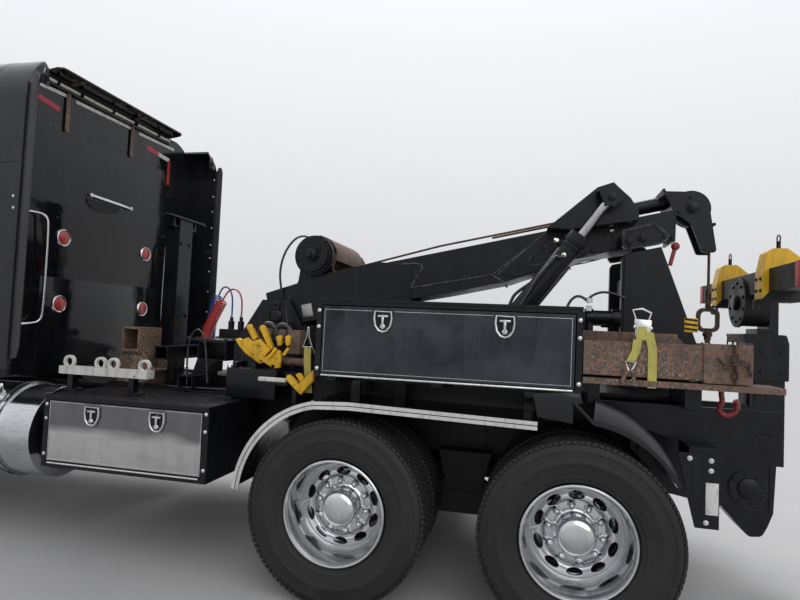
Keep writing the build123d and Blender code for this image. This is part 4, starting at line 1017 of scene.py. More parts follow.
LINE_D = 0.014
COIL_TURN_R, COIL_PITCH = 0.039, 0.0172
POINTS_PER_TURN = 14
RED_ROUTE = [(2.305, 1.390), (2.305, 1.450), (2.245, 1.590), (2.165, 1.745)]
RED_LEAD = [(2.165, 1.745), (2.140, 1.800), (2.085, 1.845), (2.020, 1.825), (1.988, 1.755), (1.985, 1.680),
            (1.985, 1.600)]
BLUE_ROUTE = [(2.335, 1.390), (2.335, 1.500), (2.315, 1.650), (2.272, 1.790)]
BLUE_LEAD = [(2.272, 1.790), (2.255, 1.840), (2.215, 1.868), (2.168, 1.845), (2.142, 1.780), (2.138, 1.690),
             (2.138, 1.600)]


def line_length(line):
    return sum((b - a).length for a, b in zip(line, line[1:]))


def coiled(line, radius, pitch):
    """A coil wound round a line; its radius grows from nothing and shrinks again in the end turns."""
    total = line_length(line)
    steps = round(total / pitch * POINTS_PER_TURN)
    along = spaced(line, total / steps * 0.99999)
    last = len(along) - 1
    result = []
    for k, point in enumerate(along):
        ahead = (along[min(k + 1, last)] - along[max(k - 1, 0)]).normalized()
        other = ahead.cross(Y).normalized()
        turn = 2 * pi * k / POINTS_PER_TURN
        grown = min(1.0, k / POINTS_PER_TURN, (last - k) / POINTS_PER_TURN)
        reach = radius * (0.5 - 0.5 * cos(pi * grown))
        result.append(point + reach * (cos(turn) * Y + sin(turn) * other))
    return result


def air_hose(node, route, lead, y, finish):
    """A curly air line, with a bright nut at each end."""
    path = coiled(smooth_line(drawn(y, route)), COIL_TURN_R, COIL_PITCH) + smooth_line(drawn(y, lead))[1:]
    piece = Work().tube(path, LINE_D / 2, 8).done(node + "_line", finish)
    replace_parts(piece, node)
    nuts = Work()
    for x, z in (route[0], lead[-1]):
        nuts.turned([(0, 0), (0.013, 0), (0.013, 0.022), (0.009, 0.026), (0.009, 0.03), (0, 0.03)],
                    spot(x, y, z - 0.012), Z, 6)
    nuts.done(node + "_nuts", "trim_steel")


# Tyres and wheels

AXLE_Z = middle("drive_tyres_front_left").z
TYRE_R, TREAD_BASE_R = 0.520, 0.507
OUTER_Y, INNER_Y, STEER_Y = 1.075, 0.735, 1.040
DRIVE_X = (("front", 0.66), ("rear", -0.66))
STEER_X = 7.350
TREAD_BLOCKS = 98
TREAD_ROWS = 6
DRIVE_ROW_PITCH, STEER_ROW_PITCH = 0.042, 0.038

# Half of a tyre's section, (radius, distance from its middle), with a bead, two ribs and a shoulder
SIDEWALL = [(0.293, 0.078), (0.296, 0.100), (0.306, 0.116), (0.312, 0.119), (0.316, 0.1185), (0.330, 0.124),
            (0.334, 0.127), (0.338, 0.1265), (0.352, 0.131), (0.375, 0.1355), (0.400, 0.1375),
            (0.404, 0.1396), (0.416, 0.1396), (0.420, 0.1376), (0.445, 0.1365), (0.466, 0.134)]
SHOULDER = [(0.470, 0.1365), (0.486, 0.133), (0.500, 0.126), (0.506, 0.118)]
CREASE = 0.0035


def carcass(work, centre, y):
    """A tyre's body, its shoulders notched between every second pair of points."""
    half = SIDEWALL + SHOULDER + [(TREAD_BASE_R, 0.112)]
    section = [(r, -d) for r, d in half] + half[::-1]
    rings = []
    for radius, offset in section + section[:1]:
        notched = (radius, abs(offset)) in SHOULDER
        ring = []
        for k, turn in enumerate(full_turn(2 * TREAD_BLOCKS)):
            reach = radius - (CREASE if notched and k % 2 else 0.0)
            ring.append(centre + Vector((reach * cos(turn), y + offset, reach * sin(turn))))
        rings.append(ring)
    return work.rings(rings, caps=False)


def tread_block():
    """A worn rectangular tread block with a chamfered top."""
    long, wide, top = 0.0138, 0.0178, TYRE_R - TREAD_BASE_R + 0.003
    line = [(long, wide), (-long, wide), (-long, -wide), (long, -wide)]
    levels = ((1.0, 0.0), (0.98, top - 0.002), (0.90, top))
    return Work().rings([[Vector((x * s, y * s, z)) for x, y in line] for s, z in levels])


def tyres(node, body, x, places):
    """The detailed tyres that stand for a node's plain ones."""
    centre = spot(x, 0, AXLE_Z)
    work = Work()
    spots = []
    pitch = STEER_ROW_PITCH if x == STEER_X else DRIVE_ROW_PITCH
    for y in places:
        carcass(work, centre, y)
        for row in range(TREAD_ROWS):
            offset = (row - (TREAD_ROWS - 1) / 2) * pitch
            for k in range(TREAD_BLOCKS):
                turn = 2 * pi * (k + 0.5 * (row % 2) + 0.13) / TREAD_BLOCKS
                out = Vector((cos(turn), 0, sin(turn)))
                spots.append((centre + out * (TREAD_BASE_R - 0.003) + Y * (y + offset), out, 1.0, 0.0))
    bmesh.ops.remove_doubles(work.bm, verts=work.bm.verts, dist=1e-6)
    piece = work.done(node + "_carcass", "tyre_rubber", body)
    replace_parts(piece, node)
    scatter(node + "_tread", tread_block(), spots, "tyre_rubber", body)


LUG_PCD_R, LUGS = 0.1429, 10
HAND_HOLES, HAND_HOLE_R = 10, 0.203
RIM_SECTION = [(0.2985, 0.118), (0.2985, 0.126), (0.292, 0.132), (0.284, 0.130), (0.279, 0.118),
               (0.274, 0.105), (0.271, 0.060), (0.266, 0.045), (0.262, -0.010), (0.256, -0.045),
               (0.246, -0.062), (0.234, -0.060), (0.216, -0.046), (0.196, -0.039), (0.181, -0.044),
               (0.169, -0.062), (0.163, -0.084), (0.160, -0.090), (0.100, -0.090), (0.100, -0.112),
               (0.165, -0.112), (0.180, -0.075), (0.195, -0.060), (0.215, -0.066), (0.240, -0.084),
               (0.252, -0.100), (0.262, -0.115), (0.280, -0.124), (0.2985, -0.132), (0.2985, -0.118),
               (0.284, -0.104), (0.272, -0.060), (0.272, 0.040), (0.284, 0.104)]
HUB_DOME = [(0.06, -0.03), (0.124, -0.03), (0.124, 0.001), (0.117, 0.006), (0.106, 0.010), (0.1035, 0.040),
            (0.103, 0.104), (0.099, 0.119), (0.088, 0.130), (0.066, 0.137), (0.036, 0.141), (0, 0.142)]
BRAKE_DRUM = [(0.208, -0.133), (0.208, -0.02), (0.196, -0.008), (0.120, 0.0), (0.120, 0.22), (0.066, 0.22),
              (0.066, -0.12), (0.120, -0.12), (0.192, -0.02), (0.192, -0.133)]


def lug_cover():
    """A bright tall cover for a wheel nut."""
    return Work().turned([(0.0245, 0), (0.0245, 0.004), (0.0195, 0.008), (0.0185, 0.036), (0.0150, 0.047),
                          (0.008, 0.053), (0, 0.055)], Vector(), Z, 14)


def cut(mesh, cutter, operation="DIFFERENCE"):
    """One mesh cut by another, as a new mesh."""
    host, tool = helper("cut_host", mesh), helper("cut_tool", cutter)
    modifier = host.modifiers.new("cut", "BOOLEAN")
    modifier.object, modifier.operation, modifier.solver = tool, operation, "EXACT"
    bpy.context.view_layer.update()
    result = bpy.data.meshes.new_from_object(host.evaluated_get(bpy.context.evaluated_depsgraph_get()))
    for item in (host, tool):
        bpy.data.objects.remove(item)
    return result


def rim_mesh():
    """A disc wheel round Z with its ten oval hand holes."""
    work = Work().turned(RIM_SECTION, Vector(), Z, 80, closed=True)
    holes = Work()
    for k in range(HAND_HOLES):
        turn = 2 * pi * (k + 0.5) / HAND_HOLES
        out, along = Vector((cos(turn), sin(turn), 0)), Vector((-sin(turn), cos(turn), 0))
        oval = [out * (HAND_HOLE_R + 0.024 * sin(a)) + along * 0.043 * cos(a) for a in full_turn(16)]
        holes.plate([p - Z * 0.08 for p in oval], Z * 0.16)
    return cut(work.mesh("rim"), holes.mesh("hand_holes"))


def drive_wheel(name, body, x, side, rim):
    """The outer and inner disc wheels of a pair, back to back, with the hub and the brake drum."""
    work = Work()
    for y, way in ((OUTER_Y, side), (INNER_Y, -side)):
        axes = Matrix(((1, 0, 0), (0, 0, way), (0, 1, 0))).to_4x4()
        copy = rim.copy()
        copy.transform(Matrix.Translation(spot(x, side * y, AXLE_Z)) @ axes)
        work.bm.from_mesh(copy)
        bpy.data.meshes.remove(copy)
    work.turned(BRAKE_DRUM, spot(x, side * 0.735, AXLE_Z), Y * side, 56, closed=True)
    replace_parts(work.done(name + "_rims", "polished_aluminium", body), name)


def hub_trim(body, x, face_y, side, dome):
    """The bright hub cap, the nut covers and the valve stem of one wheel face."""
    out = Y * side
    centre = spot(x, 0, AXLE_Z) + out * face_y
    Work().turned(dome, centre, out, 48).done(body + "_hub_cap", "chrome", body)
    spots = []
    for k in range(LUGS):
        turn = 2 * pi * (k + 0.25) / LUGS
        spots.append((centre + LUG_PCD_R * Vector((cos(turn), 0, sin(turn))) - out * 0.005, out, 1.0, 0.0))
    scatter(body + "_nut_covers", lug_cover(), spots, "chrome", body)
    bend = ((0.230, 0.026), (0.236, 0.07), (0.224, 0.105))
    stem = [centre + X * reach + out * rise for reach, rise in bend]
    Work().tube(stem, 0.005, 8).done(body + "_valve", "trim_steel", body)


def wheels():
    rim = rim_mesh()
    steer_dome = [(r, d * 0.47) for r, d in HUB_DOME]
    for side, word in SIDES:
        for row, x in DRIVE_X:
            body = f"drive_wheel_{row}_{word}"
            tyres(f"drive_tyres_{row}_{word}", body, x, [side * OUTER_Y, side * INNER_Y])
            drive_wheel(f"drive_wheels_{row}_{word}", body, x, side, rim)
            hub_trim(body, x, OUTER_Y - 0.090, side, HUB_DOME)
        body = f"front_wheel_{word}"
        tyres(f"steer_tyre_{word}", body, STEER_X, [side * STEER_Y])
        hub_trim(body, STEER_X, 1.108, side, steer_dome)


# The sleeper's rear wall and its side extenders

WALL_X = 3.25
EXTENDER_Y = 1.20
ROOF_Z, ROOF_R, ROOF_Y = 3.395, 0.366, 0.834
ROOF_ARC_Z = ROOF_Z - ROOF_R
SLEEPER_FRONT_X, SLEEPER_FLOOR_Z = 4.93, 1.10
WALL_THICK = 0.040


def on_wall(y, z, out=0.0):
    """A point on the sleeper's rear wall, out to the rear."""
    return spot(WALL_X - out, y, z)


def roof_section(inset, top):
    """The sleeper's section as (y, z): square below and widely rounded above, under a roof height."""
    half, floor_z, radius = EXTENDER_Y - inset, SLEEPER_FLOOR_Z + inset, ROOF_R - inset
    foot = [(half - 0.045, floor_z), (half - 0.013, floor_z + 0.013), (half, floor_z + 0.045)]
    quarter = [pi / 2 * k / 12 for k in range(13)]
    arc = [(ROOF_Y + radius * cos(t), top - ROOF_R + radius * sin(t)) for t in quarter]
    return foot + arc + [(-y, z) for y, z in (foot + arc)[::-1]]


def sleeper_form(inset):
    """The sleeper's closed form, its roof dipping to the cab at the front, shrunk by an inset."""
    rear, front = WALL_X + inset, SLEEPER_FRONT_X - inset
    stations = ((rear, 0.0, 0.012), (rear + 0.012, 0.0, 0.0), (4.30, 0.0, 0.0), (4.62, 0.06, 0.0),
                (front - 0.02, 0.20, 0.0), (front, 0.21, 0.02))
    rings = []
    for x, drop, shrink in stations:
        rings.append([spot(x, y, z) for y, z in roof_section(inset + shrink, ROOF_Z - drop)])
    return Work().rings(rings).mesh("sleeper_form")


def sleeper_body():
    """The hollow sleeper with its taller rounded roof, open to the cab, and the bunk's base in it."""
    shell = cut(sleeper_form(0.0), sleeper_form(WALL_THICK))
    way = Work().slab(spot(SLEEPER_FRONT_X - 0.06, -0.60, 1.25), spot(SLEEPER_FRONT_X + 0.02, 0.60, 2.70))
    shell = cut(shell, way.mesh("way_to_the_cab"))
    work = Work()
    work.bm.from_mesh(shell)
    work.slab(spot(3.29, -1.16, 1.56), spot(4.20, 1.16, 1.72), 0.008)
    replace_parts(work.done("sleeper_body", "black_paint"), "sleeper_shell")


def fairings():
    """The side extenders, which carry the roof's rounding on to the rear, their rubber flaps and the lip."""
    panels, flaps, lip, hangers = Work(), Work(), Work(), Work()
    turns = [radians(90 - 55 * k / 10) for k in range(11)]
    stations = ((3.25, 3.40), (3.10, 3.40), (3.05, 3.39), (3.01, 3.365), (2.98, 3.33), (2.96, 3.28),
                (2.951, 3.22), (2.95, 3.15))
    flap = ((2.952, 1.26), (2.952, 3.15), (2.93, 3.20), (2.895, 3.19), (2.882, 3.14), (2.88, 1.34),
            (2.90, 1.27))

    def section(inset):
        radius = ROOF_R - inset
        arc = [(ROOF_Y + radius * sin(t), ROOF_ARC_Z + radius * cos(t)) for t in turns]
        return [(EXTENDER_Y - inset, 1.19)] + arc

    for side in (1, -1):
        outline = section(0.0) + section(0.030)[::-1]
        panels.rings([[spot(x, side * y, min(z, top)) for y, z in outline] for x, top in stations])
        flaps.plate(drawn(side * 1.178, flap), Y * side * 0.010, 0.003)
    edge = ((3.25, 0.80), (3.12, 0.80), (3.085, 0.775), (3.08, 0.74), (3.08, -0.69), (3.085, -0.72),
            (3.12, -0.745), (3.25, -0.745))
    lip.rings([[spot(x, y, 3.372 + (3.25 - x) * 0.165 + rise) for x, y in edge] for rise in (0.0, 0.014)])
    lip.bar(spot(3.235, 0.80, 3.345), spot(3.235, -0.745, 3.345), 0.03, 0.07, 0.004)
    for y, low in ((0.550, 3.005), (-0.200, 3.027)):
        hangers.bar(spot(3.236, y, 3.385), spot(3.236, y, low), 0.040, 0.006, 0.002, up=X)
        hangers.bar(spot(3.236, y, 3.372), spot(3.10, y, 3.392), 0.040, 0.006, 0.002)
    panels.done("side_extenders", "black_paint")
    flaps.done("extender_flaps", "grey_rubber")
    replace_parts(lip.done("roof_lip", "black_paint"), "sleeper_fairings")
    hangers.done("lip_hangers", "rusty_steel")


def tapes():
    """Reflecting tape along the top of the wall: red, white and red again, and down its far side."""
    strip = 0.04
    red, white = Work(), Work()
    for y0, z0, y1, z1 in ((0.823, 3.186, 0.62, 3.156), (-0.423, 3.19, -0.603, 3.175)):
        red.bar(on_wall(y0, z0, 0.001), on_wall(y1, z1, 0.001), 0.003, strip)
    red.bar(on_wall(-0.775, 3.155, 0.001), on_wall(-0.775, 2.912, 0.001), strip, 0.003, up=X)
    white.bar(on_wall(-0.603, 3.175, 0.001), on_wall(-0.777, 3.16, 0.001), 0.003, strip)
    for y0, y1 in ((0.814, 0.527), (0.463, -0.232), (-0.303, -0.840)):
        white.bar(on_wall(y0, 3.280, 0.002), on_wall(y1, 3.290, 0.002), 0.004, 0.026)
    red.done("wall_red_tape", "red_tape")
    white.done("wall_white_tape", "white_tape")


def lip_lights():
    """Cream light tubes that hang under the lip, on little clips."""
    tubes, clips = Work(), Work()
    z = 3.338
    for y0, y1 in ((0.80, 0.70), (0.68, 0.466), (0.44, 0.10), (0.08, -0.18), (-0.22, -0.52), (-0.54, -0.72)):
        tubes.tube([on_wall(y0, z, 0.035), on_wall(y1, z, 0.035)], 0.012, 10)
        for y in (y0, y1):
            clips.bar(on_wall(y, z, 0.0), on_wall(y, z, 0.050), 0.008, 0.030, 0.002)
    tubes.done("lip_light_tubes", "lamp_tube")
    clips.done("lip_light_clips", "chassis_black")


def wall_rivets():
    """Rows of rivets and loose screws on the wall, and its lower sheet."""
    spots = []
    for z in (2.600, 1.892, 3.05):
        spots += facing(rows(on_wall(1.12, z), on_wall(-1.12, z), 0.075), -X)
    for y in (1.13, -1.13):
        spots += facing(rows(on_wall(y, 1.3), on_wall(y, 3.0), 0.075), -X)
    screws = ((0.935, 2.653), (0.429, 2.346), (0.568, 2.319), (0.167, 2.883), (-0.041, 1.936), (0.601, 2.684))
    spots += facing([on_wall(y, z) for y, z in screws], -X, 1.5)
    scatter("wall_rivets", dome_unit(0.0065, 0.003), spots, "black_paint")
    sheet = Work().slab(on_wall(0.69, 1.15, -0.03), on_wall(-0.69, 1.85, 0.003), 0.001)
    sheet.done("wall_lower_sheet", "black_paint")


def stop_lamps():
    """Four round red lamps in chrome rings, high on the wall."""
    rings, lenses = Work(), Work()
    for y in (0.498, -0.498):
        for z in (2.17, 1.645):
            rings.turned([(0.072, 0), (0.070, 0.010), (0.064, 0.016), (0.058, 0.014), (0.056, 0.006),
                          (0.0, 0.006)], on_wall(y, z), -X, 40)
            lenses.turned([(0.056, 0.004), (0.052, 0.014), (0.036, 0.021), (0, 0.024)], on_wall(y, z), -X, 32)
    rings.done("stop_lamp_rings", "chrome")
    lenses.done("stop_lamp_lenses", "red_lens")


def wall_handle():
    """The bright bar in the middle of the wall over a small dark dish."""
    bar, dish = Work(), Work()
    bar.bar(on_wall(0.262, 2.566, 0.028), on_wall(-0.228, 2.554, 0.028), 0.016, 0.022, 0.004)
    for y, z in ((0.262, 2.566), (-0.228, 2.554)):
        bar.bar(on_wall(y, z), on_wall(y, z, 0.036), 0.030, 0.030, 0.003)
    rim = ((0.286, 2.535), (0.276, 2.500), (0.235, 2.470), (0.160, 2.455), (0.080, 2.457), (0.0, 2.468),
           (-0.070, 2.49), (-0.100, 2.515), (-0.098, 2.535))
    dish.plate([on_wall(y, z, 0.001) for y, z in rim], -X * 0.002)
    dish.tube([on_wall(y, z, 0.003) for y, z in rim], 0.005, 8)
    bar.done("wall_handle", "chrome")
    dish.done("wall_handle_dish", "chassis_black")


def wall_grab_tubes():
    """Long grab tubes beside the extenders."""
    work = Work()
    line = ((0.86, 2.313, 0.0), (0.770, 2.316, 0.045), (0.722, 2.290, 0.062), (0.714, 2.20, 0.065),
            (0.710, 1.90, 0.065), (0.712, 1.60, 0.065), (0.720, 1.515, 0.062), (0.770, 1.487, 0.045),
            (0.85, 1.485, 0.0))
    for side in (1, -1):
        work.tube(smooth_line([on_wall(side * y, z, out) for y, z, out in line]), 0.011, 10)
    work.done("wall_grab_tubes", "chrome")


def extender_trim():
    """Rivets, bolts and edge strips on the side extenders and the sleeper's sides."""
    spots, bolts, edge = [], [], []
    strip = Work()
    edge_heights = (3.058, 2.878, 2.717, 2.54, 2.36, 2.22, 2.076, 1.863, 1.65, 1.45)
    for side in (1, -1):
        out, face = Y * side, side * EXTENDER_Y
        for z in (2.575, 1.90, 1.30):
            spots += facing(rows(spot(2.97, face, z), spot(3.20, face, z), 0.08), out)
        for x in (3.29, 4.86):
            spots += facing(rows(spot(x, face, 1.2), spot(x, face, 3.0), 0.075), out)
        bolts += facing(drawn(face, ((2.998, 2.341), (2.991, 2.263))), out, 0.8, 0.3)
        strip.bar(spot(2.953, side * 1.187, 1.22), spot(2.953, side * 1.187, 3.12), 0.026, 0.004, 0.001, up=X)
        proud = face + side * 0.001
        strip.bar(spot(3.068, proud, 2.224), spot(2.988, proud, 2.224), 0.003, 0.012)
        strip.bar(spot(2.96, face, 2.575), spot(4.90, face, 2.575), 0.003, 0.010, 0.001)
        strip.bar(spot(3.262, face, 1.20), spot(3.262, face, 3.02), 0.010, 0.003, 0.001, up=X)
        edge += facing([spot(2.97, side * 1.169, z) for z in edge_heights], -out, 1.3)
    strip.done("extender_seams", "black_paint")
    scatter("side_rivets", dome_unit(0.0065, 0.003), spots, "black_paint")
    scatter("extender_bolts", dome_unit(0.013, 0.007), bolts, "trim_steel")
    scatter("extender_rivets", dome_unit(0.008, 0.004), edge, "trim_steel")


def sleeper_trim():
    """Marker lamps, side hatches and their latches on the sleeper's sides."""
    amber, bezel, panel = Work(), Work(), Work()

    def raised(work, side, x, z, half_x, half_z, foot, rise, edge):
        work.slab(spot(x - half_x, side * (EXTENDER_Y + foot), z - half_z),
                  spot(x + half_x, side * (EXTENDER_Y + rise), z + half_z), edge)

    for side in (1, -1):
        for x in (3.9, 4.7):
            raised(amber, side, x, 2.95, 0.05, 0.016, -0.002, 0.018, 0.007)
            raised(bezel, side, x, 2.95, 0.06, 0.024, -0.002, 0.006, 0.003)
        for x in (3.75, 4.45):
            raised(panel, side, x, 1.50, 0.30, 0.25, -0.002, 0.005, 0.003)
            raised(bezel, side, x, 1.68, 0.05, 0.02, 0.003, 0.014, 0.005)
    amber.done("sleeper_markers", "amber_lens")
    bezel.done("sleeper_latches", "chrome")
    panel.done("sleeper_hatches", "black_paint")


# The boom, its winch and the lift cylinders

PIVOT_X, PIVOT_Z = 1.430, 1.620
LIFT_BASE_X, LIFT_BASE_Z = -0.020, 1.345
LIFT_EYE_X, LIFT_EYE_Z, ROD_R = -0.862, 2.470, 0.027
LIFT_Y = 0.430
BOOM_SLOPE = radians(12.2)
BOX_Y = 0.200
WINCH_X, WINCH_Z = 1.170, 2.075
DRUM_R, DRUM_HALF = 0.088, 0.296
ROPE_R = 0.008
SHEAVE_X, SHEAVE_Z = -1.439, 2.488
SHEAVE_R = 0.122
HOOK_X = -1.565


def ring_of(centre, axis, radius, count, start, size):
    """Spots round a circle, all facing along its axis."""
    u = axis.orthogonal().normalized()
    v = axis.cross(u)
    turns = [start + t for t in full_turn(count)]
    return [(centre + radius * (u * cos(t) + v * sin(t)), axis, size, t) for t in turns]


def boom_fixings():
    """Bolts and pin keepers on the boom's foot and box."""
    bolts, keepers = [], Work()
    cheek_bolts = ((-0.30, 2.03), (-0.44, 2.18), (-0.62, 2.24), (-0.98, 2.33), (-0.98, 2.23), (-0.78, 2.165))
    for side in (1, -1):
        out = Y * side
        pin = spot(PIVOT_X, side * 0.425, PIVOT_Z)
        keepers.turned([(0.050, 0), (0.050, 0.006), (0.042, 0.012), (0.018, 0.014), (0, 0.014)], pin, out, 32)
        keepers.slab(pin + Vector((-0.03, 0, 0.045)), pin + Vector((0.03, side * 0.012, 0.115)), 0.004)
        bolts.append((pin + Vector((0, side * 0.012, 0.092)), out, 1.0, 0.2))
        bolts += ring_of(spot(PIVOT_X, side * 0.394, PIVOT_Z), out, 0.078, 8, 0.2, 0.6)
        eye = spot(LIFT_EYE_X, side * 0.500, LIFT_EYE_Z)
        keepers.cap(0.024, 0.006, 0.016, 0.010, eye, out, 24)
        bolts += facing(drawn(side * (BOX_Y + 0.010), cheek_bolts), out, 0.75, 0.4)
    scatter("boom_bolts", bolt_unit(0.013, 0.012), bolts, "wrecker_black", "boom")
    keepers.done("boom_pin_keepers", "wrecker_black", "boom")


def boom_box_trim():
    """The boom box's folds and weld beads, pale from wear and painted highlight, its pad screws and the blank
    plates on its foot.
    """
    beads, pads, panel = Work(), Work(), Work()
    folds = (((0.535, 1.794), (0.485, 1.871), (0.399, 2.02), (0.411, 2.046), (0.448, 2.052), (0.62, 2.045)),
             ((0.485, 1.870), (0.47, 1.873), (-0.11, 1.982), (-0.381, 2.208)),
             ((-0.11, 1.977), (-0.20, 1.925)))
    recess = ((-0.359, 2.057), (-0.364, 2.107), (-0.497, 2.209), (-0.904, 2.283), (-0.930, 2.266),
              (-0.913, 2.170), (-0.765, 2.127), (-0.387, 2.051))
    edge = ((-0.147, 1.985), (-0.475, 2.300), (-1.055, 2.418))
    corners = ((1.254, 1.710), (1.177, 1.728), (1.156, 1.637), (1.232, 1.622))
    screw = [(0.016, 0), (0.016, 0.006), (0.010, 0.010), (0, 0.010)]
    for side in (1, -1):
        # The beads are pale partly from worn paint and partly as painted highlight lines along folds and
        # plate edges.
        for line in folds:
            beads.tube(drawn(side * (BOX_Y + 0.001), line), 0.0065, 6)
        beads.tube(drawn(side * (BOX_Y + 0.0105), recess), 0.005, 6, closed=True)
        beads.tube(drawn(side * (BOX_Y + 0.006), edge), 0.005, 6)
        for x in (-0.90, -1.02):
            pads.turned(screw, spot(x, side * (BOX_Y + 0.010), 2.305), Y * side, 12)
        panel.plate(drawn(side * 0.380, corners), Y * side * 0.004, 0.0015)
    beads.done("boom_welds", "scuffed_edge", "boom")
    pads.done("boom_pad_screws", "trim_steel", "boom")
    panel.done("boom_blank_plates", "plate_metal", "boom")


def boom_tip_trim():
    """The sheave's bolts, its pin caps and the rope keeper at the boom's head."""
    bolts, keep = [], Work()
    for side in (1, -1):
        out = Y * side
        pin = spot(SHEAVE_X, side * 0.096, SHEAVE_Z)
        keep.turned([(0.034, -0.004), (0.034, 0.006), (0.028, 0.010), (0, 0.010)], pin, out, 24)
        bolts += ring_of(spot(SHEAVE_X, side * 0.092, SHEAVE_Z), out, 0.038, 4, 0.4, 0.45)
        bolts += facing(drawn(side * 0.080, ((-1.30, 2.545), (-1.42, 2.56), (-1.35, 2.46))), out, 0.8, 0.3)
    keep.tube([spot(-1.57, 0.09, 2.37), spot(-1.57, -0.09, 2.37)], 0.012, 10)
    scatter("boom_head_bolts", bolt_unit(0.013, 0.012), bolts, "wrecker_black", "boom_tip")
    keep.done("boom_head_pins", "wrecker_black", "boom_tip")


def rope_runs():
    """The winch rope: on the drum, over the boom to its tube, and over the sheave to the hook."""
    turns = 2 * DRUM_HALF / (2.06 * ROPE_R)
    layers = (("rope_layer_1", DRUM_R + ROPE_R, 1.0), ("rope_layer_2", DRUM_R + 2.8 * ROPE_R, 0.62))
    start = spot(WINCH_X, -DRUM_HALF + ROPE_R, WINCH_Z)
    for name, radius, share in layers:
        length = 2 * DRUM_HALF * share - 2 * ROPE_R
        values = {"Turns": turns * share, "Radius": radius, "Length": length, "Rope": ROPE_R, "Middle": start}
        grow(WINDING, helper(name, bpy.data.meshes.new(name)), name, values, "wire_rope", "boom")
    run = ((WINCH_X - 0.07, WINCH_Z - DRUM_R * 0.86), (0.308, 2.212), (-0.442, 2.372), (-0.70, 2.428))
    Work().tube(drawn(0.0, run), ROPE_R, 8).done("rope_over_boom", "wire_rope", "boom")
    slope = Vector((cos(BOOM_SLOPE), 0, -sin(BOOM_SLOPE)))
    mouth = spot(-0.62, 0.0, 2.393)
    angles = [radians(78 + 8.5 * k) for k in range(13)]
    wrap = [spot(SHEAVE_X + SHEAVE_R * cos(t), 0, SHEAVE_Z + SHEAVE_R * sin(t)) for t in angles]
    tip = Work().tube([mouth + slope * 0.55, mouth, spot(-1.30, 0, 2.540), *wrap, spot(HOOK_X, 0, 2.31)],
                      ROPE_R, 8)
    tip.done("rope_over_sheave", "wire_rope", "boom_tip")


def winch_trim():
    """Bolts round the gear housing, its plugs and the motor's hoses."""
    bolts = []
    for y, radius, count, size in ((0.440, 0.100, 12, 0.55), (0.392, 0.141, 20, 0.4), (0.334, 0.150, 6, 0.6)):
        bolts += ring_of(spot(WINCH_X, y, WINCH_Z), Y, radius, count, 0.1, size)
    bolts += ring_of(spot(WINCH_X, -0.43, WINCH_Z), -Y, 0.046, 6, 0.1, 0.5)
    scatter("winch_bolts", bolt_unit(0.013, 0.012), bolts, "wrecker_black", "boom")
    work, hoses = Work(), Work()
    work.turned([(0.020, 0), (0.020, 0.008), (0.012, 0.010), (0.012, 0.018), (0, 0.018)],
                spot(WINCH_X - 0.05, 0.44, WINCH_Z + 0.05), Y, 6)
    work.turned([(0.040, 0), (0.040, 0.014), (0.026, 0.02), (0.026, 0.05), (0, 0.052)],
                spot(WINCH_X, 0.462, WINCH_Z), Y, 24)
    work.done("winch_plugs", "wrecker_black", "boom")
    start, near = spot(WINCH_X - 0.04, -0.40, WINCH_Z + 0.055), spot(1.235, 0.36, 2.215)
    hoses.tube(smooth_line([start, start + Vector((-0.06, 0, 0.05)), spot(1.02, -0.39, 2.10),
                            spot(0.96, -0.36, 1.99), spot(0.90, -0.30, 1.95)]), 0.012, 10)
    line = [near, near + Vector((0.05, 0.03, 0.02)), spot(1.38, 0.42, 2.12), spot(1.42, 0.43, 1.95),
            spot(1.40, 0.40, 1.78), spot(1.40, 0.36, 1.70)]
    hoses.tube(smooth_line(line), 0.008, 8)
    hoses.done("winch_hoses", "black_rubber", "boom")


def lift_trim():
    """Collars, port unions, pin caps and the outer hoses on the lift cylinders."""
    along = Vector((LIFT_EYE_X - LIFT_BASE_X, 0, LIFT_EYE_Z - LIFT_BASE_Z)).normalized()
    across = Vector((along.z, 0, -along.x))
    nuts, rings, hoses, lugs = Work(), Work(), Work(), []
    for side in (1, -1):
        out = Y * side
        base = spot(LIFT_BASE_X, side * LIFT_Y, LIFT_BASE_Z)
        for place in (0.150, 0.985):
            nuts.turned([(0.021, 0), (0.021, 0.016), (0.014, 0.022), (0.014, 0.03), (0, 0.03)],
                        base + along * place + across * 0.088, across, 6)
        for place, radius, wire in ((1.045, 0.0755, 0.004), (1.000, 0.0765, 0.003), (0.085, 0.066, 0.005)):
            rings.tube(hoop(base + along * place, across, Y, radius, 32), wire, 6, closed=True)
        nuts.cap(0.050, 0.01, 0.036, 0.014, base + out * 0.044, out, 24)
        port = base + along * 0.93 + out * 0.076
        nuts.cap(0.016, 0.018, 0.010, 0.022, port, out, 6)
        line = [port + out * 0.015, port + out * 0.032 - along * 0.03,
                *drawn(side * 0.515, ((-0.529, 2.088), (-0.492, 2.034), (-0.414, 1.941))),
                base + along * 0.48 + out * 0.085, base + along * 0.20 + out * 0.083]
        hoses.tube(smooth_line(line), 0.009, 8)
        lugs += ring_of(spot(LIFT_BASE_X, side * (LIFT_Y + 0.095), LIFT_BASE_Z), out, 0.028, 3, 0.3, 0.6)
    nuts.done("lift_unions", "trim_steel", "lift_barrel")
    rings.done("lift_welds", "wrecker_black", "lift_barrel")
    hoses.done("lift_hoses", "black_rubber", "lift_barrel")
    scatter("lift_base_bolts", bolt_unit(0.013, 0.01), lugs, "wrecker_black")


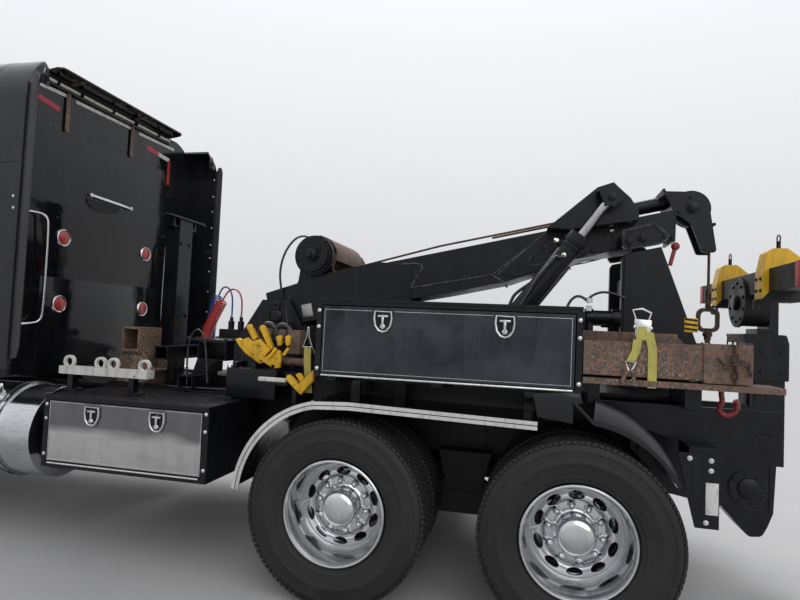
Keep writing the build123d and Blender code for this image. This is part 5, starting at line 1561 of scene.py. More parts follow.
def slim_rods():
    """The lift cylinders' chromed rods with their eyes, thinner than the solids, and their glands."""
    eye, foot = spot(LIFT_EYE_X, 0.0, LIFT_EYE_Z), spot(LIFT_BASE_X, 0.0, LIFT_BASE_Z)
    along, reach = (eye - foot).normalized(), (eye - foot).length
    rods, glands = Work(), Work()
    for side in (1, -1):
        shift = Y * side * LIFT_Y
        end = reach - 0.030
        rods.turned([(0, 0.150), (ROD_R, 0.150), (ROD_R, end), (0, end)], foot + shift, along, 32)
        rods.turned([(0, -0.044), (0.046, -0.044), (0.046, 0.044), (0, 0.044)], eye + shift, Y, 40)
        ring = [(ROD_R + 0.003, -0.020), (0.060, -0.020), (0.060, 0.004), (ROD_R + 0.003, 0.004)]
        glands.turned(ring, foot + shift + along * 1.100, along, 40, closed=True)
    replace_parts(rods.done("lift_rod_pair", "cylinder_chrome", "lift_rod"), "lift_rods")
    glands.done("lift_glands", "wrecker_black", "lift_barrel")


def ram_hose():
    """The hoses that climb from the deck to the boom's rest and its small ram, with their clamps."""
    hoses, clamps = Work(), Work()
    routes = (
        (0.30, 0.011, 10, ((-0.479, 1.994), (-0.378, 1.925), (-0.302, 1.87), (-0.252, 1.821), (-0.20, 1.62),
                           (-0.19, 1.42), (-0.20, 1.26))),
        (0.335, 0.009, 8, ((-0.755, 1.80), (-0.70, 1.86), (-0.62, 1.80), (-0.58, 1.6), (-0.56, 1.40),
                           (-0.57, 1.255))),
        (0.36, 0.008, 8, ((-0.757, 1.832), (-0.80, 1.87), (-0.90, 1.87), (-0.977, 1.833))))
    for y, radius, sides, line in routes:
        hoses.tube(smooth_line(drawn(y, line)), radius, sides)
    for z in (1.745, 1.80):
        clamps.cap(0.020, 0.03, 0.014, 0.034, spot(-0.757, 0.335, z), Z, 8)
    for z in (1.62, 1.42):
        clamps.slab(spot(-0.225, 0.272, z - 0.018), spot(-0.170, 0.318, z + 0.018), 0.004)
    hoses.done("rest_hoses", "black_rubber")
    clamps.done("rest_hose_clamps", "trim_steel")


def stick_lights():
    """Two thin control rods with red balls beside the boom's rest."""
    balls, stems = Work(), Work()
    for x, y in ((-1.284, 0.30), (-1.300, -0.30)):
        balls.ball(spot(x, y, 2.186), 0.027)
        stems.tube([spot(x + 0.03, y, 2.06), spot(x, y, 2.186)], 0.013, 8)
    balls.done("red_balls", "red_paint")
    stems.done("ball_stems", "red_paint")


def mast_trim():
    """The worn striped plates, the cheeks' outlines and the bolts on the boom rest's masts and cheeks."""
    stripes, dark, edges, bolts = Work(), Work(), Work(), []
    rim = ((-0.952, 2.271), (-1.14, 2.32), (-1.223, 2.244), (-1.211, 2.214), (-1.17, 2.192), (-0.967, 2.15))
    # Each row: distance from the middle, size and turn of its bolts, and their places
    bolt_rows = (
        (0.394, 0.7, 0.3, ((-1.20, 2.235), (-0.985, 2.18))),
        (0.396, 1.7, 0.3, ((-0.988, 2.206), (-1.069, 2.226))),
        (0.350, 0.9, 0.3, ((-1.02, 1.30), (-1.20, 1.30), (-1.38, 1.30), (-1.02, 1.38), (-1.38, 1.38))),
        (0.425, 1.0, 0.3, ((1.70, 1.10), (1.70, 1.20), (1.70, 1.33), (1.50, 1.12), (1.50, 1.30), (1.30, 1.32),
                           (1.20, 1.30))),
        (0.545, 1.1, 0.3, ((-1.05, 1.16), (-1.05, 1.04), (-1.05, 0.92), (-1.2, 1.16), (-1.4, 1.16),
                           (-1.6, 1.16), (-1.05, 0.80))))
    for side in (1, -1):
        out, y = Y * side, side * 0.350
        stripes.slab(spot(-1.415, y - side * 0.001, 1.632), spot(-1.335, y + side * 0.003, 1.722), 0.001)
        for z in (1.640, 1.670, 1.700):
            stripe = ((-1.413, z), (-1.413, z + 0.013), (-1.337, z + 0.021), (-1.337, z + 0.008))
            dark.plate(drawn(y + side * 0.003, stripe), out * 0.0008)
        # The cheeks' outlines are pale partly from worn paint and partly as painted highlight lines.
        edges.tube(drawn(side * 0.388, rim), 0.004, 6, closed=True)
        for reach, size, turn, places in bolt_rows:
            bolts += facing(drawn(side * reach, places), out, size, turn)
    stripes.done("mast_striped_plates", "yellow_paint")
    dark.done("mast_plate_stripes", "chassis_black")
    edges.done("mast_plate_edges", "scuffed_edge")
    scatter("mast_bolts", bolt_unit(0.013, 0.012), bolts, "wrecker_black")


# Toolboxes, fenders and the deck

BOX_FACE_Y = 1.200
UPPER_LATCHES, LOWER_LATCHES = (0.418, -0.255), (2.273, 1.810)
UPPER_LATCH_Z, LOWER_LATCH_Z = 1.617, 0.946


def latch_trim():
    """A bezel, a black well and a bright T handle in every latch, and the doors' bright edge lines."""
    right = [(0.046, 0.050), (0.050, 0.010), (0.043, -0.030), (0.024, -0.056)]
    shape = right + [(0, -0.064)] + [(-u, w) for u, w in right[::-1]]
    for side, word in SIDES:
        out = Y * side
        doors = ((f"upper_door_{word}", UPPER_LATCHES, UPPER_LATCH_Z, 0.762, -0.600, 1.318, 1.668),
                 (f"lower_door_{word}", LOWER_LATCHES, LOWER_LATCH_Z, 2.585, 1.508, 0.652, 1.012))
        for body, latches, z, front, rear, low, high in doors:
            handles, bezels, wells = Work(), Work(), Work()
            for x in latches:
                at = spot(x, side * (BOX_FACE_Y - 0.002), z)
                line = [at + Vector((u, side * 0.005, w)) for u, w in shape]
                bezels.tube(line, 0.0065, 8, closed=True)
                wells.plate([p.lerp(at, 0.08) - out * 0.004 for p in line], out * 0.0015)
                grip = at + out * 0.010
                for wide, bottom, top in ((0.030, 0.018, 0.030), (0.007, -0.030, 0.022)):
                    corner = Vector((wide, 0.004, 0))
                    handles.slab(grip - corner + Z * bottom, grip + corner + Z * top, 0.003)
                handles.cap(0.015, 0.008, 0.010, 0.012, at + Vector((0, side * 0.002, -0.034)), out, 16)
            ring = ((front, low), (front, high), (rear, high), (rear, low))
            handles.tube(drawn(side * (BOX_FACE_Y + 0.001), ring), 0.0026, 6, closed=True)
            handles.done(body + "_handles", "chrome", body)
            bezels.done(body + "_bezels", "trim_steel", body)
            wells.done(body + "_wells", "chassis_black", body)


def box_fixings():
    """Screws round the toolboxes' fronts, and the hinge strips."""
    domes, strips = [], Work()
    screws = ((2.612, 0.994), (2.612, 0.904), (1.480, 1.011), (1.480, 0.908), (2.612, 0.68), (1.480, 0.68),
              (-0.640, 1.661), (-0.640, 1.568), (0.797, 1.661), (0.797, 1.568), (-0.640, 1.33), (0.797, 1.33))
    for side in (1, -1):
        domes += facing(drawn(side * BOX_FACE_Y, screws), Y * side)
        for hinge in (((0.77, 1.294), (-0.61, 1.294)), ((2.58, 0.627), (1.51, 0.627))):
            strips.tube(drawn(side * (BOX_FACE_Y + 0.002), hinge), 0.006, 8)
    scatter("box_screws", dome_unit(0.012, 0.006), domes, "chrome")
    strips.done("box_hinges", "trim_steel")


def tread_plate(name, x0, x1, y0, y1, z, finish, step=0.035):
    """Raised lozenges of tread plate, each row turned the other way."""
    lozenge = ((0.014, 0), (0, 0.004), (-0.014, 0), (0, -0.004))
    levels = ((1.0, 0.0), (0.6, 0.0018))
    unit = Work().rings([[Vector((u * s, w * s, h)) for u, w in lozenge] for s, h in levels])
    low, high = sorted((y0, y1))
    spots = []
    for i in range(int((x1 - x0) / step)):
        for j in range(int((high - low) / step)):
            turn = pi / 4 if (i + j) % 2 else -pi / 4
            spots.append((spot(x0 + (i + 0.5) * step, low + (j + 0.5) * step, z), Z, 1.0, turn))
    scatter(name, unit, spots, finish)


def box_tops():
    """Tread plate on top of the boxes and the decks."""
    for side, word in SIDES:
        tread_plate("lower_box_top_" + word, 1.47, 2.62, side * 0.62, side * 1.19, 1.055, "chassis_black")
        tread_plate("cab_step_top_" + word, 6.0, 6.54, side * 0.72, side * 1.15, 1.040, "polished_aluminium")
        tread_plate("tank_step_top_" + word, 3.31, 4.39, side * 1.10, side * 1.19, 1.056,
                    "polished_aluminium")
    tread_plate("deck_tread_front", 2.70, 3.04, -0.58, 0.58, 1.065, "chassis_black")
    tread_plate("deck_tread_rear", -1.28, 1.00, -0.26, 0.26, 1.250, "chassis_black", 0.05)


def fender_band(side, radius, width, y):
    """Rings of a band that follows the front tandem fender: round over the wheel, then back in a slope."""
    hub = spot(0.700, side * y, 0.555)
    arc = [spot(0.700 + radius * cos(t), side * y, 0.555 + radius * sin(t))
           for t in (radians(4 + 75 * k / 30) for k in range(31))]
    top = [spot(x, side * y, 0.555 + radius - (0.64 - x) * 0.0255) for x in (0.60, 0.20, -0.44)]
    inward = [(hub - p).normalized() * width for p in arc] + [Z * -width] * 3
    thick = Y * side * 0.006
    return [[p, p + thick, p + thick + drop, p + drop] for p, drop in zip(arc + top, inward)]


def fender_trim():
    """The front tandem fender's bright double band, the step plate and the rear fender's rubber skirt."""
    bright, dark, rubber, bolts = Work(), Work(), Work(), []
    step = ((-0.412, 1.270), (-0.648, 1.291), (-0.665, 1.230), (-0.615, 1.227), (-0.619, 1.124),
            (-0.437, 1.146))
    for side in (1, -1):
        bright.rings(fender_band(side, 0.594, 0.020, 1.192))
        bright.rings(fender_band(side, 0.569, 0.020, 1.192))
        dark.rings(fender_band(side, 0.574, 0.006, 1.190))
        hub, hub_bolts = spot(0.700, side * 1.145, 0.555), [radians(14 + 21 * k) for k in range(4)]
        ways = [Vector((cos(t), 0, sin(t))) for t in hub_bolts]
        bolts += [(hub + 0.592 * way, way, 0.7, 0.2) for way in ways]
        slope = [(x, 1.130 - (0.8 - x) * 0.022) for x in (0.5, 0.1, -0.3)]
        bolts += facing(drawn(side * 1.145, slope), Z, 0.7, 0.2)
        centre, inner, rings = spot(-0.660, side * 1.196, 0.600), -Y * side, []
        for k in range(25):
            share = k / 24
            t = radians(96 + 52 * share)
            out, high, low = Vector((cos(t), 0, sin(t))), 0.655 - 0.095 * share, 0.540 - 0.010 * share
            section = ((high, 0.05), (high - 0.012, 0.012), (high - 0.04, 0.0), (low + 0.014, 0.0),
                       (low, 0.010), (low + 0.010, 0.022), (high - 0.044, 0.022))
            rings.append([centre + out * reach + inner * depth for reach, depth in section])
        rubber.rings(rings)
        dark.plate(drawn(side * 1.186, step), Y * side * 0.008, 0.002)
    bright.done("fender_bright_edges", "trim_steel")
    dark.done("fender_step_plates", "black_paint")
    rubber.done("fender_rubber_skirts", "grey_rubber")
    scatter("fender_bolts", bolt_unit(0.012, 0.008), bolts, "trim_steel")


def flap_trim():
    """Reflectors and bolts on the mud flap brackets."""
    white, bolts = Work(), []
    for side in (1, -1):
        white.slab(spot(-1.335, side * 1.099, 0.71), spot(-1.275, side * 1.105, 0.87), 0.002)
        places = ((-1.30, 0.98), (-1.20, 0.985), (-1.30, 0.93), (-1.28, 0.67))
        bolts += facing(drawn(side * 1.100, places), Y * side, 0.8, 0.2)
    white.done("flap_reflectors", "white_tape")
    scatter("flap_bolts", bolt_unit(0.012, 0.01), bolts, "trim_steel")


def chain(name, line, length, width, wire):
    """A chain of links along a smooth line."""
    curve = bpy.data.curves.new(name, "CURVE")
    curve.dimensions = "3D"
    spline = curve.splines.new("POLY")
    points = spaced(line, 0.01)
    spline.points.add(len(points) - 1)
    for item, point in zip(spline.points, points):
        item.co = (*point, 1.0)
    unit = helper(name + "_unit", link_unit(length, width, wire).mesh(name + "_unit"))
    values = {"Unit": unit, "Spacing": length - 2 * wire, "Quarter": pi / 2}
    grow(LINKS, helper(name + "_line", curve), name, values, "hook_steel", "truck")
    bpy.data.objects.remove(unit)


def beam_gear():
    """What hangs on the left side beam: a chain, a ratchet strap and its hooks, a shackle, a red hook."""
    wrap = ((-1.365, 1.216, 1.585), (-1.365, 1.222, 1.37), (-1.375, 1.13, 1.350), (-1.385, 1.03, 1.36),
            (-1.395, 1.035, 1.59))
    chain("beam_chain", smooth_line([spot(*p) for p in wrap]), 0.056, 0.032, 0.0085)
    end = ((-1.300, 1.486), (-1.326, 1.457), (-1.343, 1.471), (-1.393, 1.484), (-1.420, 1.474),
           (-1.428, 1.440))
    chain("beam_chain_end", smooth_line(drawn(1.222, end)), 0.052, 0.030, 0.0080)
    strap, metal, dark, red = Work(), Work(), Work(), Work()
    straps = (
        (0.045, ((-0.955, 0.90, 1.566), (-0.950, 1.05, 1.572), (-0.948, 1.14, 1.640), (-0.946, 1.175, 1.660),
                 (-0.940, 1.195, 1.612), (-0.935, 1.200, 1.573))),
        (0.042, ((-0.920, 1.200, 1.575), (-0.913, 1.204, 1.520), (-0.890, 1.207, 1.466))),
        (0.042, ((-0.974, 1.196, 1.614), (-0.990, 1.204, 1.530), (-0.991, 1.208, 1.400),
                 (-0.990, 1.208, 1.335))))
    for width, line in straps:
        strap.ribbon([spot(*p) for p in line], X * width, 0.003)
    hoop_line = ((-0.906, 1.727), (-0.950, 1.735), (-0.994, 1.715), (-0.977, 1.656), (-0.926, 1.659))
    metal.tube(drawn(1.130, hoop_line), 0.006, 8, closed=True)
    cheek = ((-0.912, 1.68), (-0.988, 1.675), (-0.982, 1.585), (-0.918, 1.590))
    for y in (1.135, 1.180):
        metal.plate(drawn(y, cheek), Y * 0.004, 0.001)
    metal.tube(drawn(1.16, ((-0.905, 1.640), (-0.995, 1.634))), 0.010, 10)
    hook = ((-0.864, 1.463), (-0.913, 1.461), (-0.900, 1.430), (-0.883, 1.412), (-0.872, 1.428))
    metal.tube(drawn(1.214, hook), 0.005, 8, closed=True)
    strap.done("beam_straps", "webbing")
    metal.done("beam_strap_metal", "trim_steel")
    bow = ((-0.856, 1.395), (-0.892, 1.417), (-0.904, 1.379), (-0.876, 1.347), (-0.844, 1.356))
    dark.tube(drawn(1.216, bow), 0.009, 10, closed=True)
    dark.tube(drawn(1.216, ((-0.846, 1.352), (-0.862, 1.404))), 0.010, 10)
    dark.done("beam_shackle", "rusty_steel")
    curve = ((-1.398, 1.345), (-1.396, 1.300), (-1.405, 1.262), (-1.385, 1.223), (-1.400, 1.196),
             (-1.435, 1.188), (-1.468, 1.210), (-1.481, 1.250), (-1.464, 1.274))
    red.tube(smooth_line(drawn(0.90, curve)), 0.014, 12)
    red.tube(drawn(0.90, ((-1.398, 1.330), (-1.398, 1.350))), 0.024, 12)
    red.done("red_hook", "red_paint")


FORK_PLATES = (
    (0.70, 0.04, ((1.498, 1.542), (1.479, 1.560), (1.463, 1.550), (1.412, 1.468), (1.439, 1.449))),
    (0.68, 0.04, ((1.413, 1.542), (1.393, 1.557), (1.373, 1.547), (1.301, 1.403), (1.321, 1.381))),
    (0.72, 0.025, ((1.529, 1.444), (1.479, 1.468), (1.446, 1.438), (1.390, 1.462), (1.309, 1.392),
                   (1.387, 1.299))),
    (0.70, 0.04, ((1.574, 1.450), (1.547, 1.460), (1.527, 1.449), (1.474, 1.402), (1.351, 1.311),
                  (1.380, 1.294), (1.491, 1.359), (1.532, 1.399))),
    (0.70, 0.03, ((1.278, 1.481), (1.256, 1.493), (1.236, 1.487), (1.237, 1.427), (1.263, 1.419))),
    (0.70, 0.03, ((1.214, 1.484), (1.192, 1.498), (1.172, 1.486), (1.173, 1.431), (1.203, 1.422))),
    (0.76, 0.02, ((1.313, 1.340), (1.261, 1.413), (1.243, 1.400), (1.294, 1.333))),
    (0.76, 0.02, ((1.209, 1.367), (1.171, 1.417), (1.157, 1.404), (1.186, 1.358))),
    (0.73, 0.03, ((1.381, 1.328), (1.372, 1.360), (1.329, 1.341), (1.271, 1.397), (1.233, 1.392),
                  (1.218, 1.337), (1.226, 1.277), (1.271, 1.271))),
    (1.00, 0.04, ((1.054, 1.257), (1.039, 1.265), (1.012, 1.243), (0.972, 1.203), (0.879, 1.305),
                  (0.879, 1.236), (0.954, 1.147), (1.053, 1.231))),
    (0.98, 0.03, ((1.006, 1.265), (0.986, 1.277), (0.947, 1.247), (0.969, 1.211))))


def tow_forks():
    """The yellow forks that stand in their dark rack, the V fork in front of them and its pale bar."""
    yellow, dark, pale = Work(), Work(), Work()
    for y, deep, line in FORK_PLATES:
        yellow.plate(drawn(y, line), Y * deep, 0.004)
    dark.slab(spot(1.24, 0.56, 1.065), spot(1.60, 0.78, 1.262), 0.006)
    for x in (1.26, 1.40, 1.54):
        dark.slab(spot(x, 0.60, 1.25), spot(x + 0.03, 0.76, 1.30), 0.004)
    dark.slab(spot(1.00, 0.70, 1.065), spot(1.03, 0.99, 1.215), 0.004)
    dark.slab(spot(1.06, 0.76, 1.19), spot(1.25, 1.00, 1.212), 0.004)
    pale.slab(spot(1.068, 0.985, 1.212), spot(1.253, 1.012, 1.237), 0.004)
    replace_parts(yellow.done("yellow_forks", "yellow_paint"), "tow_forks")
    dark.done("fork_rack", "wrecker_black")
    pale.done("fork_rack_bar", "white_paint")


def deck_gear():
    """Loose things on the deck: rubber rings, plates, cables, bolts, balls and the forks' strap."""
    rusty, dark, bright, strap, buckle = Work(), Work(), Work(), Work(), Work()
    rusty.slab(spot(1.116, 0.60, 1.37), spot(1.209, 0.70, 1.53), 0.004)
    rusty.tube([spot(1.080, 0.68, 1.318), spot(1.270, 0.68, 1.318)], 0.027, 16)
    rusty.slab(spot(1.50, 0.66, 1.20), spot(1.68, 0.76, 1.226), 0.005)
    for x, radius in ((1.39, 0.066), (1.28, 0.062)):
        dark.tube(hoop(spot(x, 0.62, 1.50), X, Z, radius, 32), 0.017, 12, closed=True)
        rusty.turned([(0.030, -0.03), (0.034, 0.03), (0.020, 0.04), (0, 0.04)], spot(x, 0.60, 1.50), Y, 20)
    bright.ball(spot(1.56, 0.70, 1.258), 0.024)
    bright.ball(spot(1.62, 0.70, 1.256), 0.020)
    rusty.bar(spot(1.60, 0.70, 1.08), spot(1.60, 0.70, 1.225), 0.03, 0.05, 0.005, up=X)
    routes = (
        (0.64, 0.008, ((1.46, 1.26), (1.45, 1.36), (1.50, 1.43), (1.56, 1.38), (1.57, 1.25), (1.62, 1.12))),
        (0.50, 0.006, ((1.28, 1.80), (1.33, 1.70), (1.30, 1.56), (1.26, 1.42), (1.25, 1.26))),
        (0.58, 0.007, ((2.02, 1.10), (2.04, 1.32), (2.00, 1.50), (1.92, 1.50), (1.88, 1.34), (1.86, 1.12))))
    for y, thick, line in routes:
        dark.tube(smooth_line(drawn(y, line)), thick, 8)
    lying = ((2.9, 0.5), (2.6, 0.56), (2.4, 0.50), (2.2, 0.57), (1.9, 0.55), (1.7, 0.50))
    dark.tube(smooth_line([spot(x, y, 1.078) for x, y in lying]), 0.008, 8)
    rusty.done("deck_rusty_gear", "rusty_steel")
    dark.done("deck_cables", "black_rubber")
    bright.done("deck_bright_gear", "chrome")
    tube_bolts = [spot(x, y, 1.427) for x in (1.82, 2.14) for y in (-0.42, -0.30, 0.0, 0.30, 0.42)]
    bolts = facing(tube_bolts, Z, 1.0, 0.2)
    bolts += facing([spot(x, y, 1.065) for x in (2.4, 2.7, 3.0) for y in (-0.56, 0.56)], Z, 1.0, 0.2)
    bolts += facing([spot(2.486, y, z) for z in (1.15, 1.6, 2.2) for y in (-0.06, 0.06)], -X, 1.0, 0.2)
    bolts += facing([spot(1.7, y, z) for z in (1.12, 1.25) for y in (-0.3, -0.1, 0.1, 0.3)], -X, 1.0, 0.2)
    scatter("deck_bolts", bolt_unit(0.014, 0.012), bolts, "wrecker_black")
    strap.ribbon([spot(0.955, 0.96, 1.43), spot(0.950, 0.965, 1.33), spot(0.945, 0.95, 1.24),
                  spot(0.945, 0.93, 1.15)], X * 0.045, 0.003)
    strap.done("fork_strap", "webbing")
    hook = ((0.925, 1.435), (0.985, 1.435), (0.962, 1.50), (0.958, 1.556), (0.950, 1.556), (0.948, 1.50))
    buckle.tube(drawn(0.962, hook), 0.005, 8, closed=True)
    buckle.done("fork_strap_hook", "chrome")


def cradle_strip():
    """The rub strip on the square post's cradle."""
    strip = Work().slab(spot(2.470, -0.235, 2.412), spot(2.525, 0.235, 2.417), 0.002)
    strip.done("cradle_rub_strip", "grey_rubber")


# The underlift

SWIVEL_Z = 1.850


def underlift_trim():
    """Pins, bolts and the hoses of the folding arm."""
    bolts, work, hoses = [], Work(), Work()
    for side in (1, -1):
        out = Y * side
        pin = spot(-1.650, side * 0.557, 0.735)
        work.turned([(0.060, -0.01), (0.060, 0.006), (0.050, 0.012), (0, 0.012)], pin, out, 32)
        bolts += ring_of(pin, out, 0.085, 8, 0.2, 0.6)
        bolts += facing(drawn(side * 0.185, ((-1.620, 1.02), (-1.70, 0.69), (-1.60, 0.69))), out, 0.9, 0.2)
        head = ((-1.84, 1.40), (-1.95, 1.40), (-1.84, 1.53), (-1.95, 1.53))
        bolts += facing(drawn(side * 0.170, head), out, 0.8, 0.2)
    work.done("underlift_pins", "wrecker_black", "underlift")
    scatter("underlift_bolts", bolt_unit(0.013, 0.012), bolts, "wrecker_black", "underlift")
    for y, drop in ((0.09, 0.0), (0.13, 0.03)):
        line = ((-1.70, 0.86), (-1.76, 0.95 - drop), (-1.79, 1.10), (-1.792, 1.25), (-1.80, 1.34))
        hoses.tube(smooth_line(drawn(y, line)), 0.010, 8)
    hoses.done("underlift_hoses", "black_rubber", "underlift")


def crossbar_trim():
    """The swivel pin, its keeper bolts, the sleeves' locking pins and the bar's red ends."""
    bolts, pins, ends = [], Work(), Work()
    pins.turned([(0.052, -0.01), (0.052, 0.008), (0.040, 0.014), (0, 0.014)], spot(-1.730, 0, SWIVEL_Z), X,
                24)
    bolts += ring_of(spot(-1.741, 0, SWIVEL_Z), X, 0.130, 10, 0.1, 0.8)
    for side in (1, -1):
        for y in (0.405, 0.475):
            bolts += facing(drawn(side * y, ((-1.724, 1.90), (-1.724, 1.97))), X, 0.7, 0.2)
        pin = spot(-1.83, side * 0.44, 2.152)
        pins.tube([pin, pin + Z * 0.05], 0.012, 10)
        pins.tube(hoop(pin + Z * 0.065, Y, Z, 0.024, 20), 0.004, 6, closed=True)
        ends.slab(spot(-1.762, side * 0.86, 2.030), spot(-1.898, side * 0.94, 2.0335), 0.001)
        ends.slab(spot(-1.757, side * 0.86, 1.893), spot(-1.7605, side * 0.94, 2.027), 0.001)
    pins.done("crossbar_pins", "wrecker_black", "crossbar_body")
    ends.done("crossbar_red_ends", "red_tape", "crossbar_body")
    scatter("crossbar_bolts", bolt_unit(0.013, 0.012), bolts, "wrecker_black", "crossbar_body")


def hook_trim():
    """The hook's cotter and the rope socket's bands."""
    work = Work().tube([spot(HOOK_X, -0.03, 1.627), spot(HOOK_X, 0.03, 1.627)], 0.008, 10)
    for z in (1.82, 1.86, 1.90):
        work.tube(hoop(spot(HOOK_X, 0, z), X, Y, 0.0175, 20), 0.003, 6, closed=True)
    work.done("hook_fittings", "hook_steel", "hook")


# The tractor's front and cab

HOOD_FRONT = 8.18
LAMP_Z = 0.990


def round_lamp(lenses, rims, centre, radius, depth):
    """A domed lens in a bright rim, facing forwards."""
    lenses.turned([(radius * 0.97, 0), (radius * 0.92, depth * 0.5), (radius * 0.6, depth * 0.86),
                   (0, depth)], centre, X, 32)
    rims.tube(hoop(centre + X * depth * 0.6, Y, Z, radius, 36), 0.006, 8, closed=True)


def hood_lamps():
    """Headlamps and turn lamps on the fenders, which tilt with the hood."""
    lenses, rims, amber = Work(), Work(), Work()
    for side in (1, -1):
        for y in (0.755, 0.945):
            round_lamp(lenses, rims, spot(8.222, side * y, LAMP_Z), 0.072, 0.040)
        amber.slab(spot(8.19, side * 1.046, 0.94), spot(8.23, side * 1.064, 1.04), 0.006)
        amber.slab(spot(7.10, side * 1.188, 1.10), spot(7.18, side * 1.204, 1.14), 0.006)
    lenses.done("headlamp_lenses", "clear_lens", "hood")
    rims.done("headlamp_rims", "chrome", "hood")
    amber.done("turn_lamps", "amber_lens", "hood")


def hood_fittings():
    """Rubber hold-down latches, the hood's side vents and the bright screen in the grille."""
    rubber, bright, vents = Work(), Work(), Work()
    for side in (1, -1):
        rubber.slab(spot(6.50, side * 0.552, 1.24), spot(6.56, side * 0.580, 1.38), 0.006)
        bright.slab(spot(6.505, side * 0.556, 1.21), spot(6.555, side * 0.584, 1.245), 0.004)
        for k in range(6):
            x = 6.95 + 0.075 * k
            y = side * (0.560 - (x - 6.38) / 1.8 * 0.11)
            vents.slab(spot(x, y - side * 0.004, 1.36), spot(x + 0.05, y + side * 0.012, 1.56), 0.005)
    for k in range(19):
        z = 0.955 + 0.033 * k
        bright.slab(spot(HOOD_FRONT + 0.020, -0.368, z), spot(HOOD_FRONT + 0.023, 0.368, z + 0.006))
    rubber.done("hood_latches", "black_rubber", "hood")
    bright.done("hood_bright_parts", "chrome", "hood")
    vents.done("hood_vents", "chrome", "hood")


def bumper_fittings():
    """Lamps, tow eyes, bolts and the blank plate on the bumper."""
    lenses, rims, eyes, bolts = Work(), Work(), Work(), []
    for side in (1, -1):
        for y in (0.62, 0.80):
            round_lamp(lenses, rims, spot(8.470, side * y, 0.58), 0.052, 0.010)
        half_turn = [pi * k / 10 for k in range(11)]
        eyes.tube([spot(8.462 + 0.016 * sin(t), side * 0.36 + 0.045 * cos(t), 0.52) for t in half_turn],
                  0.012, 10)
        bolts += facing([spot(8.480, side * y, z) for y in (0.30, 0.46) for z in (0.46, 0.70)], X, 1.0, 0.2)
    plate = Work().slab(spot(8.4705, -0.155, 0.50), spot(8.4745, 0.155, 0.66), 0.002)
    lenses.done("fog_lamp_lenses", "clear_lens")
    rims.done("fog_lamp_rims", "chrome")
    eyes.done("bumper_tow_eyes", "chassis_black")
    plate.done("bumper_blank_plate", "plate_metal")
    scatter("bumper_bolts", dome_unit(0.010, 0.0), bolts, "chrome")


def cab_fittings():
    """Roof markers, horns, wipers, grab rails and the seals round the doors."""
    amber, bright, dark = Work(), Work(), Work()
    rail = ((5.13, 1.06, 1.30), (5.165, 1.11, 1.34), (5.17, 1.11, 1.50), (5.165, 1.11, 1.66),
            (5.13, 1.06, 1.70))
    door = ((6.11, 1.145), (6.11, 1.82), (5.885, 2.425), (5.15, 2.425), (5.145, 1.145))
    horn = [(0.020, 0), (0.020, 0.20), (0.028, 0.30), (0.055, 0.37), (0.060, 0.375), (0.050, 0.372),
            (0, 0.34)]
    for y in (-0.70, -0.22, 0.0, 0.22, 0.70):
        amber.slab(spot(5.55, y - 0.035, 2.692), spot(5.65, y + 0.035, 2.757), 0.014)
    for side in (1, -1):
        y = side * 0.42
        bright.turned(horn, spot(5.28, y, 2.985), X, 20)
        bright.slab(spot(5.34, y - 0.015, 2.90), spot(5.38, y + 0.015, 2.975), 0.004)
    for side in (1, -1):
        arm = ((6.235, 0.36, 1.852), (6.135, 0.42, 2.072), (6.055, 0.46, 2.292))
        dark.tube([spot(x, side * y, z) for x, y, z in arm], 0.007, 8)
        dark.bar(spot(6.165, side * 0.32, 1.98), spot(6.035, side * 0.60, 2.34), 0.010, 0.014, 0.002)
        bright.tube(smooth_line([spot(x, side * y, z) for x, y, z in rail]), 0.012, 10)
        dark.tube(drawn(side * 1.062, door), 0.004, 6, closed=True)
    amber.done("cab_markers", "amber_lens")
    bright.done("cab_horns_and_rails", "chrome")
    dark.done("cab_wipers_and_seals", "black_rubber")


def door_fittings():
    """Mirror glass and window seals."""
    window = ((5.235, 1.805), (5.935, 1.805), (5.797, 2.335), (5.235, 2.335))
    for side, word in SIDES:
        body = "cab_door_" + word
        mirror, seal = Work(), Work()
        mirror.slab(spot(5.982, side * 1.222, 1.95), spot(5.985, side * 1.388, 2.295), 0.001)
        mirror.slab(spot(5.981, side * 1.222, 1.775), spot(5.985, side * 1.388, 1.93), 0.001)
        seal.tube(drawn(side * 1.061, window), 0.007, 8, closed=True)
        mirror.done(body + "_mirror_glass", "chrome", body)
        seal.done(body + "_window_seal", "black_rubber", body)


def soft_block(name, low, high, crown):
    """A crowned cushion: a finely divided block whose faces swell and whose sides pull in at the corners."""
    work = Work()
    bmesh.ops.create_cube(work.bm, size=2.0)
    bmesh.ops.subdivide_edges(work.bm, edges=work.bm.edges, cuts=9, use_grid_fill=True)
    centre, half = (low + high) / 2, (high - low) / 2
    for v in work.bm.verts:
        u = v.co.copy()
        swell = [(1 - u[(i + 1) % 3] ** 2) * (1 - u[(i + 2) % 3] ** 2) for i in range(3)]
        v.co = centre + Vector([u[i] * (1 - crown[i] / half[i] * (1 - swell[i])) * half[i] for i in range(3)])
    bmesh.ops.smooth_vert(work.bm, verts=work.bm.verts, factor=0.5, use_axis_x=True, use_axis_y=True,
                          use_axis_z=True)
    work.done(name, "seat_cloth")


